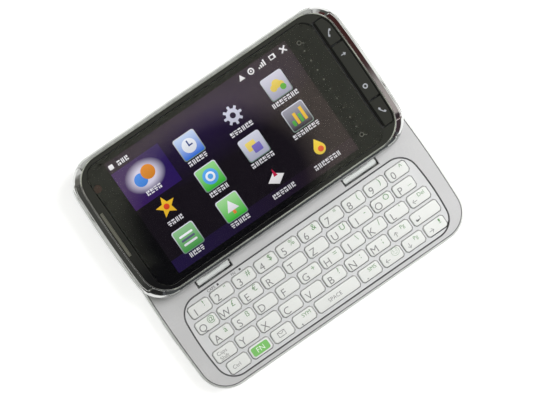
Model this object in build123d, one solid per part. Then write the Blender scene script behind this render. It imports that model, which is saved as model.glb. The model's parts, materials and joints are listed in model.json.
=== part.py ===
from build123d import *
import os
from math import cos, radians, sin, sqrt

# Side-sliding phone with a tilting screen and a five-row keyboard, in millimetres.
# Frame: +X along the phone towards its hardware keys, -Y towards the keyboard side, +Z up out
# of the keyboard.  The origin is the middle of the underside.  The phone is drawn slid open
# and untilted.  The display is drawn over the base and then moved out by SLIDE_TRAVEL.

# ---- driving dimensions ---------------------------------------------------------------------
PHONE_LENGTH = 116.0
PHONE_WIDTH = 59.2
PHONE_HEIGHT = 17.25
DISPLAY_LENGTH = 116.0
END_BOW_RADIUS = 400.0
CORNER_RADIUS = 11.3
SLIDE_TRAVEL = 40.4
LAYER_GAP = 0.55
CUT = 30.0
QUARTER_TURN = [radians(angle) for angle in (0, 30, 60, 90)]
HALF_QUARTER_TURN = [radians(angle) for angle in (0, 45, 90)]

# base heights
DECK_TOP = 9.4
SHELL_TOP = 9.3
DECK_SEAT = 8.2
SHELL_FLOOR = 1.8
SHELL_WALL = 1.4
SEAM_INSET = 0.95
SEAM_GAP = 0.1
BELLY_RADIUS = 3.6
SHOULDER_DROP = 1.6
BOARD_BOTTOM = 5.8
BOARD_TOP = 6.6

# keyboard
KEY_PITCH = 9.7
ROW_PITCH = 6.12
KEY_LENGTH = 8.6
KEY_WIDTH = 4.7
KEY_GAP = KEY_PITCH - KEY_LENGTH
KEY_CORNER = 0.75
KEY_TOP = 9.75
KEY_TRAVEL = 0.3
KEY_CLEARANCE = 0.14
KEY_FLANGE = 0.2
FIRST_ROW_Y = 1.9
ENTER_LENGTH = 11.6
SPACE_LENGTH = KEY_PITCH + KEY_LENGTH
ROW_SHIFT = (0.0, -1.05, 1.15, -1.6, 0.2)
KEY_ROWS = (
    (("number_keys", 10, KEY_LENGTH),),
    (("upper_letter_keys", 10, KEY_LENGTH),),
    (("home_letter_keys", 9, KEY_LENGTH), ("delete_key", 1, KEY_LENGTH)),
    (
        ("shift_key", 1, KEY_LENGTH),
        ("lower_letter_keys", 7, KEY_LENGTH),
        ("up_key", 1, KEY_LENGTH),
        ("enter_key", 1, ENTER_LENGTH),
    ),
    (
        ("control_key", 1, KEY_LENGTH),
        ("function_key", 1, KEY_LENGTH),
        ("mail_key", 1, KEY_LENGTH),
        ("comma_key", 1, KEY_LENGTH),
        ("space_key", 1, SPACE_LENGTH),
        ("period_key", 1, KEY_LENGTH),
        ("left_key", 1, KEY_LENGTH),
        ("down_key", 1, KEY_LENGTH),
        ("right_key", 1, KEY_LENGTH),
    ),
)
PANEL_LENGTH = 102.5
PANEL_WIDTH = 33.35
PANEL_CENTRE_Y = -10.07
PANEL_BOW_RADIUS = 95.0
PANEL_CORNER = 7.4
PANEL_TOP = 9.3
PANEL_BOTTOM = 8.4
PANEL_GROOVE = 0.22
LEDGE_WIDTH = 0.4
FLANGE_TOP = 8.35
DOME_SHEET_TOP = 7.7
DOME_SHEET_BOTTOM = 7.45
FLANGE_BOTTOM = DOME_SHEET_TOP + KEY_TRAVEL

# tilt hinge and slide
HINGE_X = 32.4
HINGE_Y = 9.9
HINGE_Z = 7.4
BAR_LENGTH = 14.0
BAR_RADIUS = 1.5
PIN_RADIUS = 0.6
PIN_CLEARANCE = 0.05
NOTCH_GAP = 0.4
EAR_THICKNESS = 0.8
PAN_LENGTH = 94.0
PAN_FRONT = 11.2
PAN_REAR = 27.0
PAN_FLOOR_TOP = 7.8
PAN_FLOOR_BOTTOM = 7.2
PLATE_BOTTOM = 8.0
PLATE_TOP = 8.8
PLATE_FRONT = 12.4
PLATE_REAR = 26.6
RAIL_WIDTH = 6.4
RAIL_WALL = 0.3
RAIL_SLOT = 3.4
RAIL_TOP = 11.7
RAIL_FRONT = -27.1
RAIL_REAR = 26.8
SHOE_FRONT = 13.4
SHOE_LENGTH = 4.2
SHOE_HEAD = 5.4
SHOE_STEM = 3.0

# display, in its own closed position over the base
DISPLAY_BOTTOM = DECK_TOP + LAYER_GAP
DISPLAY_WAIST = 13.0
UNDERSIDE_BEVEL = 0.9
LIP_WIDTH = 0.55
LIP_BOTTOM = 17.05
FACE_LENGTH = 108.0
FACE_WIDTH = 54.8
FACE_CORNER = 9.8
FACE_TOP = 17.0
FACE_BOTTOM = 15.9
CHASSIS_INSET = 1.85
CHASSIS_FLOOR = 10.85
CHASSIS_TOP = 15.75
WINDOW_LEFT = -50.4
WINDOW_RIGHT = 47.4
WINDOW_WIDTH = 52.0
WINDOW_CORNER = 5.5
WINDOW_GAP = 0.07
LCD_CENTRE_X = -2.5
LCD_LENGTH = 84.4
LCD_WIDTH = 51.0
LCD_BOTTOM = 13.0
BOARD_SEAT = 12.1
KEY_FLOOR = 14.55
EARPIECE_FLOOR = 12.2
LCD_TOP = 15.6
TRIM_HALF_SPAN = 22.4
STRIP_HALF_SPAN = 50.0
TRIM_GAP = 0.04
TRIM_DEPTH = 1.5
TRIM_STEP = 16.1
TRIM_BOTTOM = 10.85

# hardware keys at the +X end of the display
HARD_KEY_INNER = 48.4
HARD_KEY_RIM = 0.45
HARD_KEY_TOP = 16.95
HARD_KEY_BOTTOM = 15.2
CALL_KEY_SPAN = (12.4, 22.9)
CENTRE_KEY_SPAN = (-11.5, 12.0)
END_KEY_SPAN = (-22.3, -11.9)
FULCRUM_RADIUS = 0.6

# earpiece at the -X end of the display
EARPIECE_SPAN = (-8.6, 9.7)
EARPIECE_OUTER = 0.35
EARPIECE_INNER = -52.45

# underside
COVER_SPAN_X = (-34.0, 51.0)
COVER_HALF_WIDTH = 25.0
COVER_CORNER = 6.0
COVER_THICKNESS = 0.85
COVER_GAP = 0.08
BATTERY_SIZE = (56.0, 44.0, 4.2)
BATTERY_BOTTOM = 1.0
SIM_SPAN_X = (36.5, 49.5)
SIM_HALF_WIDTH = 12.6
CAMERA_X = -46.0
CAMERA_Y = 8.0
CAMERA_RADIUS = 4.6
SPEAKER_Y = -9.5
SPEAKER_SIZE = (9.0, 14.0)
SCREW_X = 53.3
SCREW_Y = (-12.5, 13.5)
POST_HALF = 1.5

# stylus, side controls and socket
STYLUS_Y = 24.4
STYLUS_Z = 3.83
STYLUS_RADIUS = 1.5
STYLUS_HEAD_RADIUS = 1.67
SLEEVE_BORE = 1.75
SLEEVE_RADIUS = 1.93
SLEEVE_SPAN_X = (-48.0, 50.6)
POWER_SIZE = (10.0, 2.6)
POWER_Z = 4.9
VOLUME_X = -30.0
VOLUME_SIZE = (18.0, 2.4)
VOLUME_Z = 4.9
SIDE_KEY_PROUD = 0.2
SIDE_KEY_GAP = 0.12
USB_SIZE = (8.2, 3.8)
USB_MOUTH = (6.9, 2.7)
USB_FRONT = 57.3
USB_DEPTH = 7.6
USB_TOP = 5.74
MOTOR_X = -49.0
MOTOR_Y = -22.0
MOTOR_Z = 3.85
MOTOR_RADIUS = 1.9
MOTOR_LENGTH = 7.0
WEIGHT_RADIUS = 1.7
SHAFT_RADIUS = 0.4


# ---- shared shapes --------------------------------------------------------------------------
def block(x_span, y_span, z_span):
    """Box between two coordinates on each axis."""
    size = [abs(span[1] - span[0]) for span in (x_span, y_span, z_span)]
    middle = [(span[1] + span[0]) / 2 for span in (x_span, y_span, z_span)]
    return Pos(*middle) * Box(*size)


def prism(outline, z_low, z_high):
    """Outline extruded between two heights."""
    return Pos(0, 0, z_low) * extrude(outline, z_high - z_low)


def slab_outline(length, width, bow_radius, corner):
    """Plan of a slab: straight long sides, gently bowed ends, rounded corners."""
    half = length / 2
    side = width / 2
    shoulder = half - (bow_radius - sqrt(bow_radius**2 - side**2))
    with BuildSketch() as plan:
        with BuildLine():
            Line((-shoulder, side), (shoulder, side))
            ThreePointArc((shoulder, side), (half, 0), (shoulder, -side))
            Line((shoulder, -side), (-shoulder, -side))
            ThreePointArc((-shoulder, -side), (-half, 0), (-shoulder, side))
        make_face()
        fillet(plan.vertices(), corner)
    return plan.sketch


def rounded_plate(x_span, y_span, corner, z_low, z_high):
    """Rectangular plate with rounded vertical corners."""
    length = x_span[1] - x_span[0]
    width = y_span[1] - y_span[0]
    centre = Pos((x_span[0] + x_span[1]) / 2, (y_span[0] + y_span[1]) / 2)
    return prism(centre * RectangleRounded(length, width, corner), z_low, z_high)


def clipped_plate(x_span, y_span, clip, z_low, z_high):
    """Rectangular plate with clipped vertical corners, for parts that stay inside."""
    plan = Rectangle(x_span[1] - x_span[0], y_span[1] - y_span[0])
    centre = Pos((x_span[0] + x_span[1]) / 2, (y_span[0] + y_span[1]) / 2)
    return prism(centre * chamfer(plan.vertices(), clip), z_low, z_high)


def rod(radius, start, length, axis="X"):
    """Cylinder from a start point along +X or +Z."""
    plane = Plane.YZ if axis == "X" else Plane.XY
    return Pos(*start) * extrude(plane * Circle(radius), length)


def base_outline(inset):
    """Base plan, drawn in by an inset."""
    return slab_outline(
        PHONE_LENGTH - 2 * inset, PHONE_WIDTH - 2 * inset, END_BOW_RADIUS - inset, CORNER_RADIUS - inset
    )


def display_outline(end_inset, side_inset, corner):
    """Display plan with its own insets at the ends and the long sides."""
    length = DISPLAY_LENGTH - 2 * end_inset
    return slab_outline(length, PHONE_WIDTH - 2 * side_inset, END_BOW_RADIUS - end_inset, corner)


def face_outline(inset):
    """Plan of the black face inside the bezel."""
    return slab_outline(
        FACE_LENGTH - 2 * inset, FACE_WIDTH - 2 * inset, END_BOW_RADIUS - inset, FACE_CORNER - inset
    )


def base_envelope(outset=0.0):
    """Outside of the base: rounded belly, upright waist and a sloped shoulder up to the seam."""
    levels = []
    for angle in HALF_QUARTER_TURN:
        levels.append((BELLY_RADIUS * (1 - cos(angle)), BELLY_RADIUS * (1 - sin(angle))))
    levels += [(SHELL_TOP - SHOULDER_DROP, 0), (SHELL_TOP, SEAM_INSET)]
    return loft([Pos(0, 0, z) * base_outline(inset - outset) for z, inset in levels], ruled=True)


def display_envelope():
    """Outside of the display: bevelled underside, upright waist, domed shoulder up to the lip."""
    end_inset = (DISPLAY_LENGTH - FACE_LENGTH) / 2 - LIP_WIDTH
    side_inset = (PHONE_WIDTH - FACE_WIDTH) / 2 - LIP_WIDTH
    lip_corner = FACE_CORNER + LIP_WIDTH
    rise = LIP_BOTTOM - DISPLAY_WAIST
    tucked = display_outline(UNDERSIDE_BEVEL, UNDERSIDE_BEVEL, CORNER_RADIUS - UNDERSIDE_BEVEL)
    full = display_outline(0, 0, CORNER_RADIUS)
    sections = [Pos(0, 0, DISPLAY_BOTTOM) * tucked, Pos(0, 0, DISPLAY_BOTTOM + UNDERSIDE_BEVEL) * full]
    for angle in QUARTER_TURN:
        curve = 1 - cos(angle)
        corner = CORNER_RADIUS + (lip_corner - CORNER_RADIUS) * curve
        outline = display_outline(end_inset * curve, side_inset * curve, corner)
        sections.append(Pos(0, 0, DISPLAY_WAIST + rise * sin(angle)) * outline)
    return loft(sections, ruled=True)


def cover_plan(gap):
    """Plan of the battery cover, grown by a gap for its recess."""
    length = COVER_SPAN_X[1] - COVER_SPAN_X[0] + 2 * gap
    centre = Pos((COVER_SPAN_X[0] + COVER_SPAN_X[1]) / 2, 0)
    return centre * RectangleRounded(length, 2 * (COVER_HALF_WIDTH + gap), COVER_CORNER + gap)


# ---- base housing ---------------------------------------------------------------------------
def side_key_windows():
    """Openings in the shell wall for the power key and the volume rocker."""
    power_y = POWER_SIZE[0] / 2 + SIDE_KEY_GAP
    power_z = POWER_SIZE[1] / 2 + SIDE_KEY_GAP
    volume_x = VOLUME_SIZE[0] / 2 + SIDE_KEY_GAP
    volume_z = VOLUME_SIZE[1] / 2 + SIDE_KEY_GAP
    power = block((-60, -54.5), (-power_y, power_y), (POWER_Z - power_z, POWER_Z + power_z))
    volume = block(
        (VOLUME_X - volume_x, VOLUME_X + volume_x), (-31, -27), (VOLUME_Z - volume_z, VOLUME_Z + volume_z)
    )
    return power + volume


def screw_places():
    """Axis of each housing screw."""
    return [(side * SCREW_X, y) for side in (-1, 1) for y in SCREW_Y]


def lower_shell():
    """Tray that carries everything: bowed sides, battery bay, sockets and screw posts."""
    shell = base_envelope() - prism(base_outline(SHELL_WALL), SHELL_FLOOR, CUT)
    shell -= prism(base_outline(SEAM_INSET), DECK_SEAT, CUT)
    for x, y in screw_places() + [(side * HINGE_X, 16.6) for side in (-1, 1)]:
        shell += block((x - POST_HALF, x + POST_HALF), (y - POST_HALF, y + POST_HALF), (1.0, BOARD_BOTTOM - 0.02))
    shell -= prism(cover_plan(COVER_GAP), -1, 0.9)
    half_length = BATTERY_SIZE[0] / 2 + 0.4
    half_width = BATTERY_SIZE[1] / 2 + 0.4
    shell -= block((-half_length, half_length), (-half_width, half_width), (0, SHELL_FLOOR + 1))
    shell -= block(SIM_SPAN_X, (-SIM_HALF_WIDTH, SIM_HALF_WIDTH), (0, SHELL_FLOOR + 1))
    shell -= rod(CAMERA_RADIUS + 0.06, (CAMERA_X, CAMERA_Y, -1), 2.0, "Z")
    shell -= rod(CAMERA_RADIUS - 0.7, (CAMERA_X, CAMERA_Y, -1), 4, "Z")
    grille_x = (CAMERA_X - SPEAKER_SIZE[0] / 2, CAMERA_X + SPEAKER_SIZE[0] / 2)
    grille_y = (SPEAKER_Y - SPEAKER_SIZE[1] / 2, SPEAKER_Y + SPEAKER_SIZE[1] / 2)
    shell -= rounded_plate(grille_x, grille_y, 2.0, -1, 0.9)
    inner_x = (grille_x[0] + 0.7, grille_x[1] - 0.7)
    inner_y = (grille_y[0] + 0.7, grille_y[1] - 0.7)
    shell -= block(inner_x, inner_y, (0, SHELL_FLOOR + 1))
    half_socket = USB_SIZE[0] / 2 + 0.1
    shell -= block((USB_FRONT - USB_DEPTH - 1, 60), (-half_socket, half_socket), (SHELL_FLOOR + 0.05, 5.9))
    shell -= rod(SLEEVE_BORE, (50, STYLUS_Y, STYLUS_Z), 10)
    shell -= side_key_windows()
    return shell


def hinge_clearances():
    """Notches where the hinge bars show, with room below for the bracket ears."""
    cuts = []
    for side in (-1, 1):
        half = BAR_LENGTH / 2 + NOTCH_GAP
        x = side * HINGE_X
        cuts.append(block((x - half, x + half), (8.1, PLATE_FRONT + 0.2), (7, CUT)))
        reach = half + EAR_THICKNESS + 0.5
        cuts.append(block((x - reach, x + reach), (7.9, 13.3), (7, DECK_SEAT)))
    return cuts


def deck():
    """Top cover of the base: rim, keyboard opening with a ledge, and a sunken pan at the rear."""
    cover = prism(base_outline(SEAM_INSET + SEAM_GAP), DECK_SEAT, DECK_TOP)
    half_pan = PAN_LENGTH / 2
    cover += clipped_plate((-half_pan - 0.8, half_pan + 0.8), (10.4, PAN_REAR + 0.8), 2.0, PAN_FLOOR_BOTTOM, 9)
    opening = Pos(0, PANEL_CENTRE_Y) * slab_outline(PANEL_LENGTH, PANEL_WIDTH, PANEL_BOW_RADIUS, PANEL_CORNER)
    skirt = PANEL_LENGTH / 2 + 0.8
    depth = PANEL_WIDTH / 2 + 0.8
    hollow = offset(opening, -LEDGE_WIDTH)
    y_span = (PANEL_CENTRE_Y - depth, PANEL_CENTRE_Y + depth)
    cover += clipped_plate((-skirt, skirt), y_span, 4.0, DOME_SHEET_TOP, DECK_TOP - 0.5)
    cover -= prism(hollow, 0, CUT)
    cover -= prism(opening, PANEL_BOTTOM, CUT)
    cover -= clipped_plate((-half_pan, half_pan), (PAN_FRONT, PAN_REAR), 1.6, PAN_FLOOR_TOP, CUT)
    for cut in hinge_clearances():
        cover -= cut
    for x, y in screw_places():
        cover += block((x - POST_HALF, x + POST_HALF), (y - POST_HALF, y + POST_HALF), (BOARD_TOP + 0.02, DECK_SEAT))
    return cover


def battery_cover():
    """Flush metal back with a thumb scoop and three hooks along one edge."""
    cover = prism(cover_plan(0), 0, COVER_THICKNESS)
    cover = chamfer(cover.faces().sort_by(Axis.Z)[0].edges(), 0.15)
    for groove in range(3):
        x = COVER_SPAN_X[1] - 4 - 1.6 * groove
        cover -= block((x - 0.4, x + 0.4), (-7, 7), (-1, 0.3))
    for y in (-15, 0, 15):
        cover += block((-33.2, -29.6), (y - 1.5, y + 1.5), (COVER_THICKNESS - 0.2, COVER_THICKNESS))
    return cover


def battery():
    """Flat lithium pack with clipped long edges."""
    length, width, height = BATTERY_SIZE
    pack = Pos(0, 0, BATTERY_BOTTOM + height / 2) * Box(length, width, height)
    return chamfer(pack.edges().filter_by(Axis.X), 0.7)


def battery_contacts():
    """Moulded block with four sprung blades against the pack."""
    rear = -BATTERY_SIZE[0] / 2 - 0.5
    body = block((rear - 2.4, rear), (-6.5, 6.5), (2.0, BOARD_BOTTOM))
    for blade in range(4):
        y = (blade - 1.5) * 3.0
        body += block((rear - 0.4, rear + 0.45), (y - 0.6, y + 0.6), (2.8, 3.6))
    return body


def main_board():
    """Circuit board cut away round the hinge brackets and drilled for the screws."""
    board = prism(base_outline(2.3), BOARD_BOTTOM, BOARD_TOP)
    for side in (-1, 1):
        board -= block((side * HINGE_X - 9.2, side * HINGE_X + 9.2), (8.0, 19.6), (5, 7))
    shields = [(-26, -4, -18, -4), (-12, 18, 6, 20), (4, 30, -18, -6)]
    for x_low, x_high, y_low, y_high in shields:
        board += block((x_low, x_high), (y_low, y_high), (5.35, BOARD_BOTTOM))
    return board


def sim_holder():
    """Folded metal tray that holds the card against the board."""
    length = SIM_SPAN_X[1] - SIM_SPAN_X[0] - 1
    x_low = SIM_SPAN_X[0] + 0.5
    holder = block((x_low, x_low + length), (-12, 12), (4.6, 5.75))
    holder -= block((x_low + 0.8, x_low + length - 0.8), (-13, 11), (4.9, 5.7))
    holder -= clipped_plate((x_low + 3, x_low + length - 3), (-9, 8), 2.0, 4, 5)
    return holder


# ---- keyboard -------------------------------------------------------------------------------
def keyboard_layout():
    """Map each key node to the (x, y, length) of its keys, rows running from the rear."""
    layout = {}
    for row, groups in enumerate(KEY_ROWS):
        y = FIRST_ROW_Y - row * ROW_PITCH
        left = ROW_SHIFT[row] - 4.5 * KEY_PITCH - KEY_LENGTH / 2
        for node, count, length in groups:
            places = []
            for _ in range(count):
                places.append((left + length / 2, y, length))
                left += length + KEY_GAP
            layout[node] = places
    return layout


def key_plan(length, growth=0.0):
    """Plan of a key with clipped corners, grown for its opening."""
    plan = Rectangle(length + 2 * growth, KEY_WIDTH + 2 * growth)
    return chamfer(plan.vertices(), KEY_CORNER + 0.59 * growth)


def keycap(x, y, length):
    """One key: cap through the panel and a retaining flange below it, over the dome sheet."""
    cap = prism(key_plan(length), FLANGE_TOP, KEY_TOP)
    cap += prism(Rectangle(length - 1.6, KEY_WIDTH + 2 * KEY_FLANGE), FLANGE_BOTTOM, FLANGE_TOP)
    return Pos(x, y, 0) * cap


def keyboard_panel(layout):
    """Bezel plate of the keyboard, pierced by one close opening for every key."""
    length = PANEL_LENGTH - 2 * PANEL_GROOVE
    width = PANEL_WIDTH - 2 * PANEL_GROOVE
    plan = slab_outline(length, width, PANEL_BOW_RADIUS, PANEL_CORNER - PANEL_GROOVE)
    panel = Pos(0, PANEL_CENTRE_Y) * plan
    holes = []
    for places in layout.values():
        for x, y, key_length in places:
            holes.append(Pos(x, y) * key_plan(key_length, KEY_CLEARANCE))
    return prism(panel - holes, PANEL_BOTTOM, PANEL_TOP)


def key_dome_sheet():
    """Switch sheet under the whole keyboard."""
    half_length = PANEL_LENGTH / 2 - 1.2
    half_width = PANEL_WIDTH / 2 - 1.0
    y_span = (PANEL_CENTRE_Y - half_width, PANEL_CENTRE_Y + half_width)
    return clipped_plate((-half_length, half_length), y_span, 5.0, DOME_SHEET_BOTTOM, DOME_SHEET_TOP)


# ---- tilt hinge and slide -------------------------------------------------------------------
def hinge_brackets():
    """Steel bracket at each hinge: two ears for the pin, a web and a screw tab."""
    brackets = []
    half = BAR_LENGTH / 2 + 0.6
    for side in (-1, 1):
        x = side * HINGE_X
        bracket = block((x - half - EAR_THICKNESS, x + half + EAR_THICKNESS), (12.2, 13.0), (BOARD_BOTTOM, 7.1))
        bracket += block((x - 6, x + 6), (12.6, 19.2), (BOARD_BOTTOM, 6.3))
        for end in (-1, 1):
            inner = x + end * half
            outer = x + end * (half + EAR_THICKNESS)
            span = (min(inner, outer), max(inner, outer))
            bracket += block(span, (HINGE_Y - 1.2, 12.2), (BOARD_BOTTOM, 8.15))
        bracket -= rod(PIN_RADIUS, (x - 10, HINGE_Y, HINGE_Z), 20)
        brackets.append(bracket)
    return Compound(children=brackets)


def hinge_pins():
    """Steel pin through each bracket and bar."""
    half = BAR_LENGTH / 2 + 0.6 + EAR_THICKNESS
    return Compound(
        children=[rod(PIN_RADIUS, (side * HINGE_X - half, HINGE_Y, HINGE_Z), 2 * half) for side in (-1, 1)]
    )


def hinge_bars():
    """Silver knuckle bars that show in front of the display, with prongs over the tilt plate."""
    bars = []
    half = BAR_LENGTH / 2
    for side in (-1, 1):
        x = side * HINGE_X
        bar = rod(BAR_RADIUS, (x - half, HINGE_Y, HINGE_Z), BAR_LENGTH)
        bar += block((x - half, x + half), (HINGE_Y, PLATE_FRONT), (HINGE_Z + 0.6, PLATE_TOP))
        for prong in (-1, 1):
            bar += block((x + prong * 5.2 - 1.4, x + prong * 5.2 + 1.4), (HINGE_Y + 0.6, 18.0), (PLATE_TOP, 9.2))
        bar -= rod(PIN_RADIUS + PIN_CLEARANCE, (x - 10, HINGE_Y, HINGE_Z), 20)
        bars.append(bar)
    return Compound(children=bars)


def tilt_plate():
    """Pressed steel plate that lifts the display: window for the ribbon and lightening slots."""
    plate = clipped_plate((-44, 44), (PLATE_FRONT, PLATE_REAR), 2.0, PLATE_BOTTOM, PLATE_TOP)
    plate -= clipped_plate((-13, 13), (15.5, 23.8), 1.5, 7, CUT)
    for side in (-1, 1):
        plate -= block((side * 21 - 4.5, side * 21 + 4.5), (17, 22.5), (7, CUT))
    return plate


def slide_shoes():
    """Four nylon T-shoes on the tilt plate that run in the display's rails."""
    shoes = []
    for side in (-1, 1):
        for y_low in (SHOE_FRONT, PLATE_REAR - 0.2 - SHOE_LENGTH):
            x = side * HINGE_X
            y_span = (y_low, y_low + SHOE_LENGTH)
            stem = block((x - SHOE_STEM / 2, x + SHOE_STEM / 2), y_span, (PLATE_TOP, 10.6))
            head = block((x - SHOE_HEAD / 2, x + SHOE_HEAD / 2), y_span, (10.38, 11.25))
            shoes.append(stem + chamfer(head.edges().filter_by(Axis.Z), 0.5))
    return Compound(children=shoes)


def slide_rails():
    """Folded C-rails let into the display's back."""
    rails = []
    for side in (-1, 1):
        x = side * HINGE_X
        outer = RAIL_WIDTH / 2
        inner = outer - RAIL_WALL
        rail = block((x - outer, x + outer), (RAIL_FRONT, RAIL_REAR), (DISPLAY_BOTTOM, RAIL_TOP))
        rail -= block((x - inner, x + inner), (-CUT, CUT), (DISPLAY_BOTTOM + RAIL_WALL, RAIL_TOP - RAIL_WALL))
        rail -= block((x - RAIL_SLOT / 2, x + RAIL_SLOT / 2), (-CUT, CUT), (DISPLAY_BOTTOM - 1, 11))
        rails.append(opened(rail))
    return Compound(children=rails)


# ---- display --------------------------------------------------------------------------------
def opened(shape):
    """Shape of the display moved from its closed place to the open one."""
    return Pos(0, SLIDE_TRAVEL, 0) * shape


def chassis_outline():
    """Plan of the magnesium tray inside the bezel."""
    return display_outline(CHASSIS_INSET, CHASSIS_INSET, CORNER_RADIUS - CHASSIS_INSET)


def display_chassis():
    """Magnesium tray: rail channels below, pockets for screen, board, keys and earpiece above."""
    tray = prism(chassis_outline(), DISPLAY_BOTTOM, CHASSIS_TOP)
    pocket = block((-50.5, 50.5), (-25.2, 25.2), (CHASSIS_FLOOR, LCD_BOTTOM))
    for side in (-1, 1):
        pocket -= block((side * HINGE_X - 3.9, side * HINGE_X + 3.9), (-CUT, CUT), (10, BOARD_SEAT))
    tray -= pocket
    half_lcd = LCD_LENGTH / 2 + 0.3
    tray -= block((LCD_CENTRE_X - half_lcd, LCD_CENTRE_X + half_lcd), (-25.8, 25.8), (LCD_BOTTOM, CUT))
    tray -= block((47.6, 53.8), (-24.4, 24.4), (KEY_FLOOR, CUT))
    tray -= block((-54.0, -44.0), (-20.5, 22.5), (EARPIECE_FLOOR, CUT))
    for side in (-1, 1):
        channel_x = (side * HINGE_X - RAIL_WIDTH / 2 - 0.03, side * HINGE_X + RAIL_WIDTH / 2 + 0.03)
        tray -= block(channel_x, (RAIL_FRONT - 0.03, RAIL_REAR + 0.03), (0, RAIL_TOP + 0.03))
    return tray


def tray_room(z_high):
    """Space that the bezel leaves for the chassis."""
    inset = CHASSIS_INSET - 0.05
    return prism(display_outline(inset, inset, CORNER_RADIUS - inset), 0, z_high)


def lip():
    """Narrow polished lip round the black face."""
    return prism(face_outline(-LIP_WIDTH) - face_outline(-0.05), FACE_BOTTOM - 0.1, PHONE_HEIGHT)


def shoulder_ring():
    """Curved surround outside the lip, before its trims are parted from it."""
    return display_envelope() - tray_room(FACE_BOTTOM - 0.1) - prism(face_outline(-LIP_WIDTH), 0, CUT)


def trim_zones(gap):
    """Regions of the surround that are separate trims, keyed by node and shrunk by a gap."""
    end_in = DISPLAY_LENGTH / 2 - TRIM_DEPTH + gap
    side_in = PHONE_WIDTH / 2 - TRIM_DEPTH + gap
    end_span = (-TRIM_HALF_SPAN + gap, TRIM_HALF_SPAN - gap)
    side_span = (-STRIP_HALF_SPAN + gap, STRIP_HALF_SPAN - gap)
    zones = {}
    for name, sign in (("end_trim_left", -1), ("end_trim_right", 1)):
        zones[name] = block((sign * 45, sign * 60), end_span, (TRIM_STEP + gap, CUT))
        zones[name] += block((sign * end_in, sign * 60), end_span, (TRIM_BOTTOM + gap, CUT))
    for name, sign in (("side_strip_front", -1), ("side_strip_rear", 1)):
        zones[name] = block(side_span, (sign * 25, sign * 32), (TRIM_STEP + gap, CUT))
        zones[name] += block(side_span, (sign * side_in, sign * 32), (TRIM_BOTTOM + gap, CUT))
    return zones


def face_frame():
    """Black fascia round the touch window with the slot for the hardware keys."""
    frame = prism(face_outline(0), FACE_BOTTOM, FACE_TOP)
    frame -= window_plan(0, FACE_BOTTOM - 1, CUT)
    key_slot = prism(face_outline(HARD_KEY_RIM - 0.15), FACE_BOTTOM - 1, CUT)
    frame -= key_slot & block((WINDOW_RIGHT - 0.2, 60), (END_KEY_SPAN[0] - 0.2, CALL_KEY_SPAN[1] + 0.2), (0, CUT))
    slot = block((-60, EARPIECE_INNER + 0.08), (EARPIECE_SPAN[0] - 0.1, EARPIECE_SPAN[1] + 0.1), (0, CUT))
    frame -= slot & prism(face_outline(EARPIECE_OUTER - 0.07), FACE_BOTTOM - 1, CUT)
    return frame


def window_plan(gap, z_low, z_high):
    """Touch window body, drawn in by a gap."""
    half = WINDOW_WIDTH / 2 - gap
    return rounded_plate((WINDOW_LEFT + gap, WINDOW_RIGHT - gap), (-half, half), WINDOW_CORNER - gap, z_low, z_high)


def touch_window():
    """Clear touch panel set in the fascia."""
    return window_plan(WINDOW_GAP, FACE_BOTTOM, FACE_TOP)


def lcd_panel():
    """Liquid-crystal module with its metal frame."""
    half = LCD_LENGTH / 2
    x_span = (LCD_CENTRE_X - half, LCD_CENTRE_X + half)
    return clipped_plate(x_span, (-LCD_WIDTH / 2, LCD_WIDTH / 2), 0.6, LCD_BOTTOM, LCD_TOP)


def display_board():
    """Small circuit board on the rail ribs, under the screen."""
    return block((-43, 36), (-24, 24), (12.15, 12.75)) - block((-12, 12), (-20, -8), (12, 13))


def hard_key(span):
    """Hardware key whose outer edge follows the bow of the face."""
    cap = prism(face_outline(HARD_KEY_RIM), HARD_KEY_BOTTOM, HARD_KEY_TOP)
    cap &= block((HARD_KEY_INNER, 60), span, (0, CUT))
    return chamfer(cap.faces().sort_by(Axis.Z)[-1].edges(), 0.2)


def centre_key():
    """Two-way rocker between the call and end keys, on a half-round fulcrum."""
    key = hard_key(CENTRE_KEY_SPAN)
    middle = sum(CENTRE_KEY_SPAN) / 2
    key += rod(FULCRUM_RADIUS, (50.0, middle, HARD_KEY_BOTTOM), 2.4)
    return key


def earpiece_grille():
    """Narrow strip of mesh between the fascia and the bezel."""
    strip = block((-60, EARPIECE_INNER), EARPIECE_SPAN, (16.2, 16.9))
    return strip & prism(face_outline(EARPIECE_OUTER), 0, CUT)


def earpiece():
    """Receiver capsule behind the grille."""
    return clipped_plate((-53.4, -47.5), (-7, 7), 1.2, 12.25, 15.6)


def front_camera():
    """Video-call camera under the window."""
    base = clipped_plate((-52, -46), (14.6, 20.6), 0.6, 12.25, 14.2)
    return base + rod(1.6, (-49, 17.5, 14.2), 1.5, "Z")


# ---- fitted parts in the base ---------------------------------------------------------------
def camera_module():
    """Main camera: square carrier and lens barrel."""
    barrel = rod(3.6, (CAMERA_X, CAMERA_Y, 1.15), 3, "Z")
    x_span = (CAMERA_X - 4.5, CAMERA_X + 4.5)
    y_span = (CAMERA_Y - 4.5, CAMERA_Y + 4.5)
    carrier = block(x_span, y_span, (SHELL_FLOOR + 0.05, BOARD_BOTTOM - 0.1))
    return barrel + carrier - rod(1.5, (CAMERA_X, CAMERA_Y, 0), 2.2, "Z")


def camera_lens():
    """Round cover glass in the underside."""
    return rod(CAMERA_RADIUS, (CAMERA_X, CAMERA_Y, 0.25), 0.7, "Z")


def loudspeaker():
    """Speaker capsule behind its grille."""
    half_x = SPEAKER_SIZE[0] / 2
    half_y = SPEAKER_SIZE[1] / 2 - 0.5
    x_span = (CAMERA_X - half_x, CAMERA_X + half_x)
    y_span = (SPEAKER_Y - half_y, SPEAKER_Y + half_y)
    return clipped_plate(x_span, y_span, 1.8, SHELL_FLOOR + 0.05, 5.2)


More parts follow.
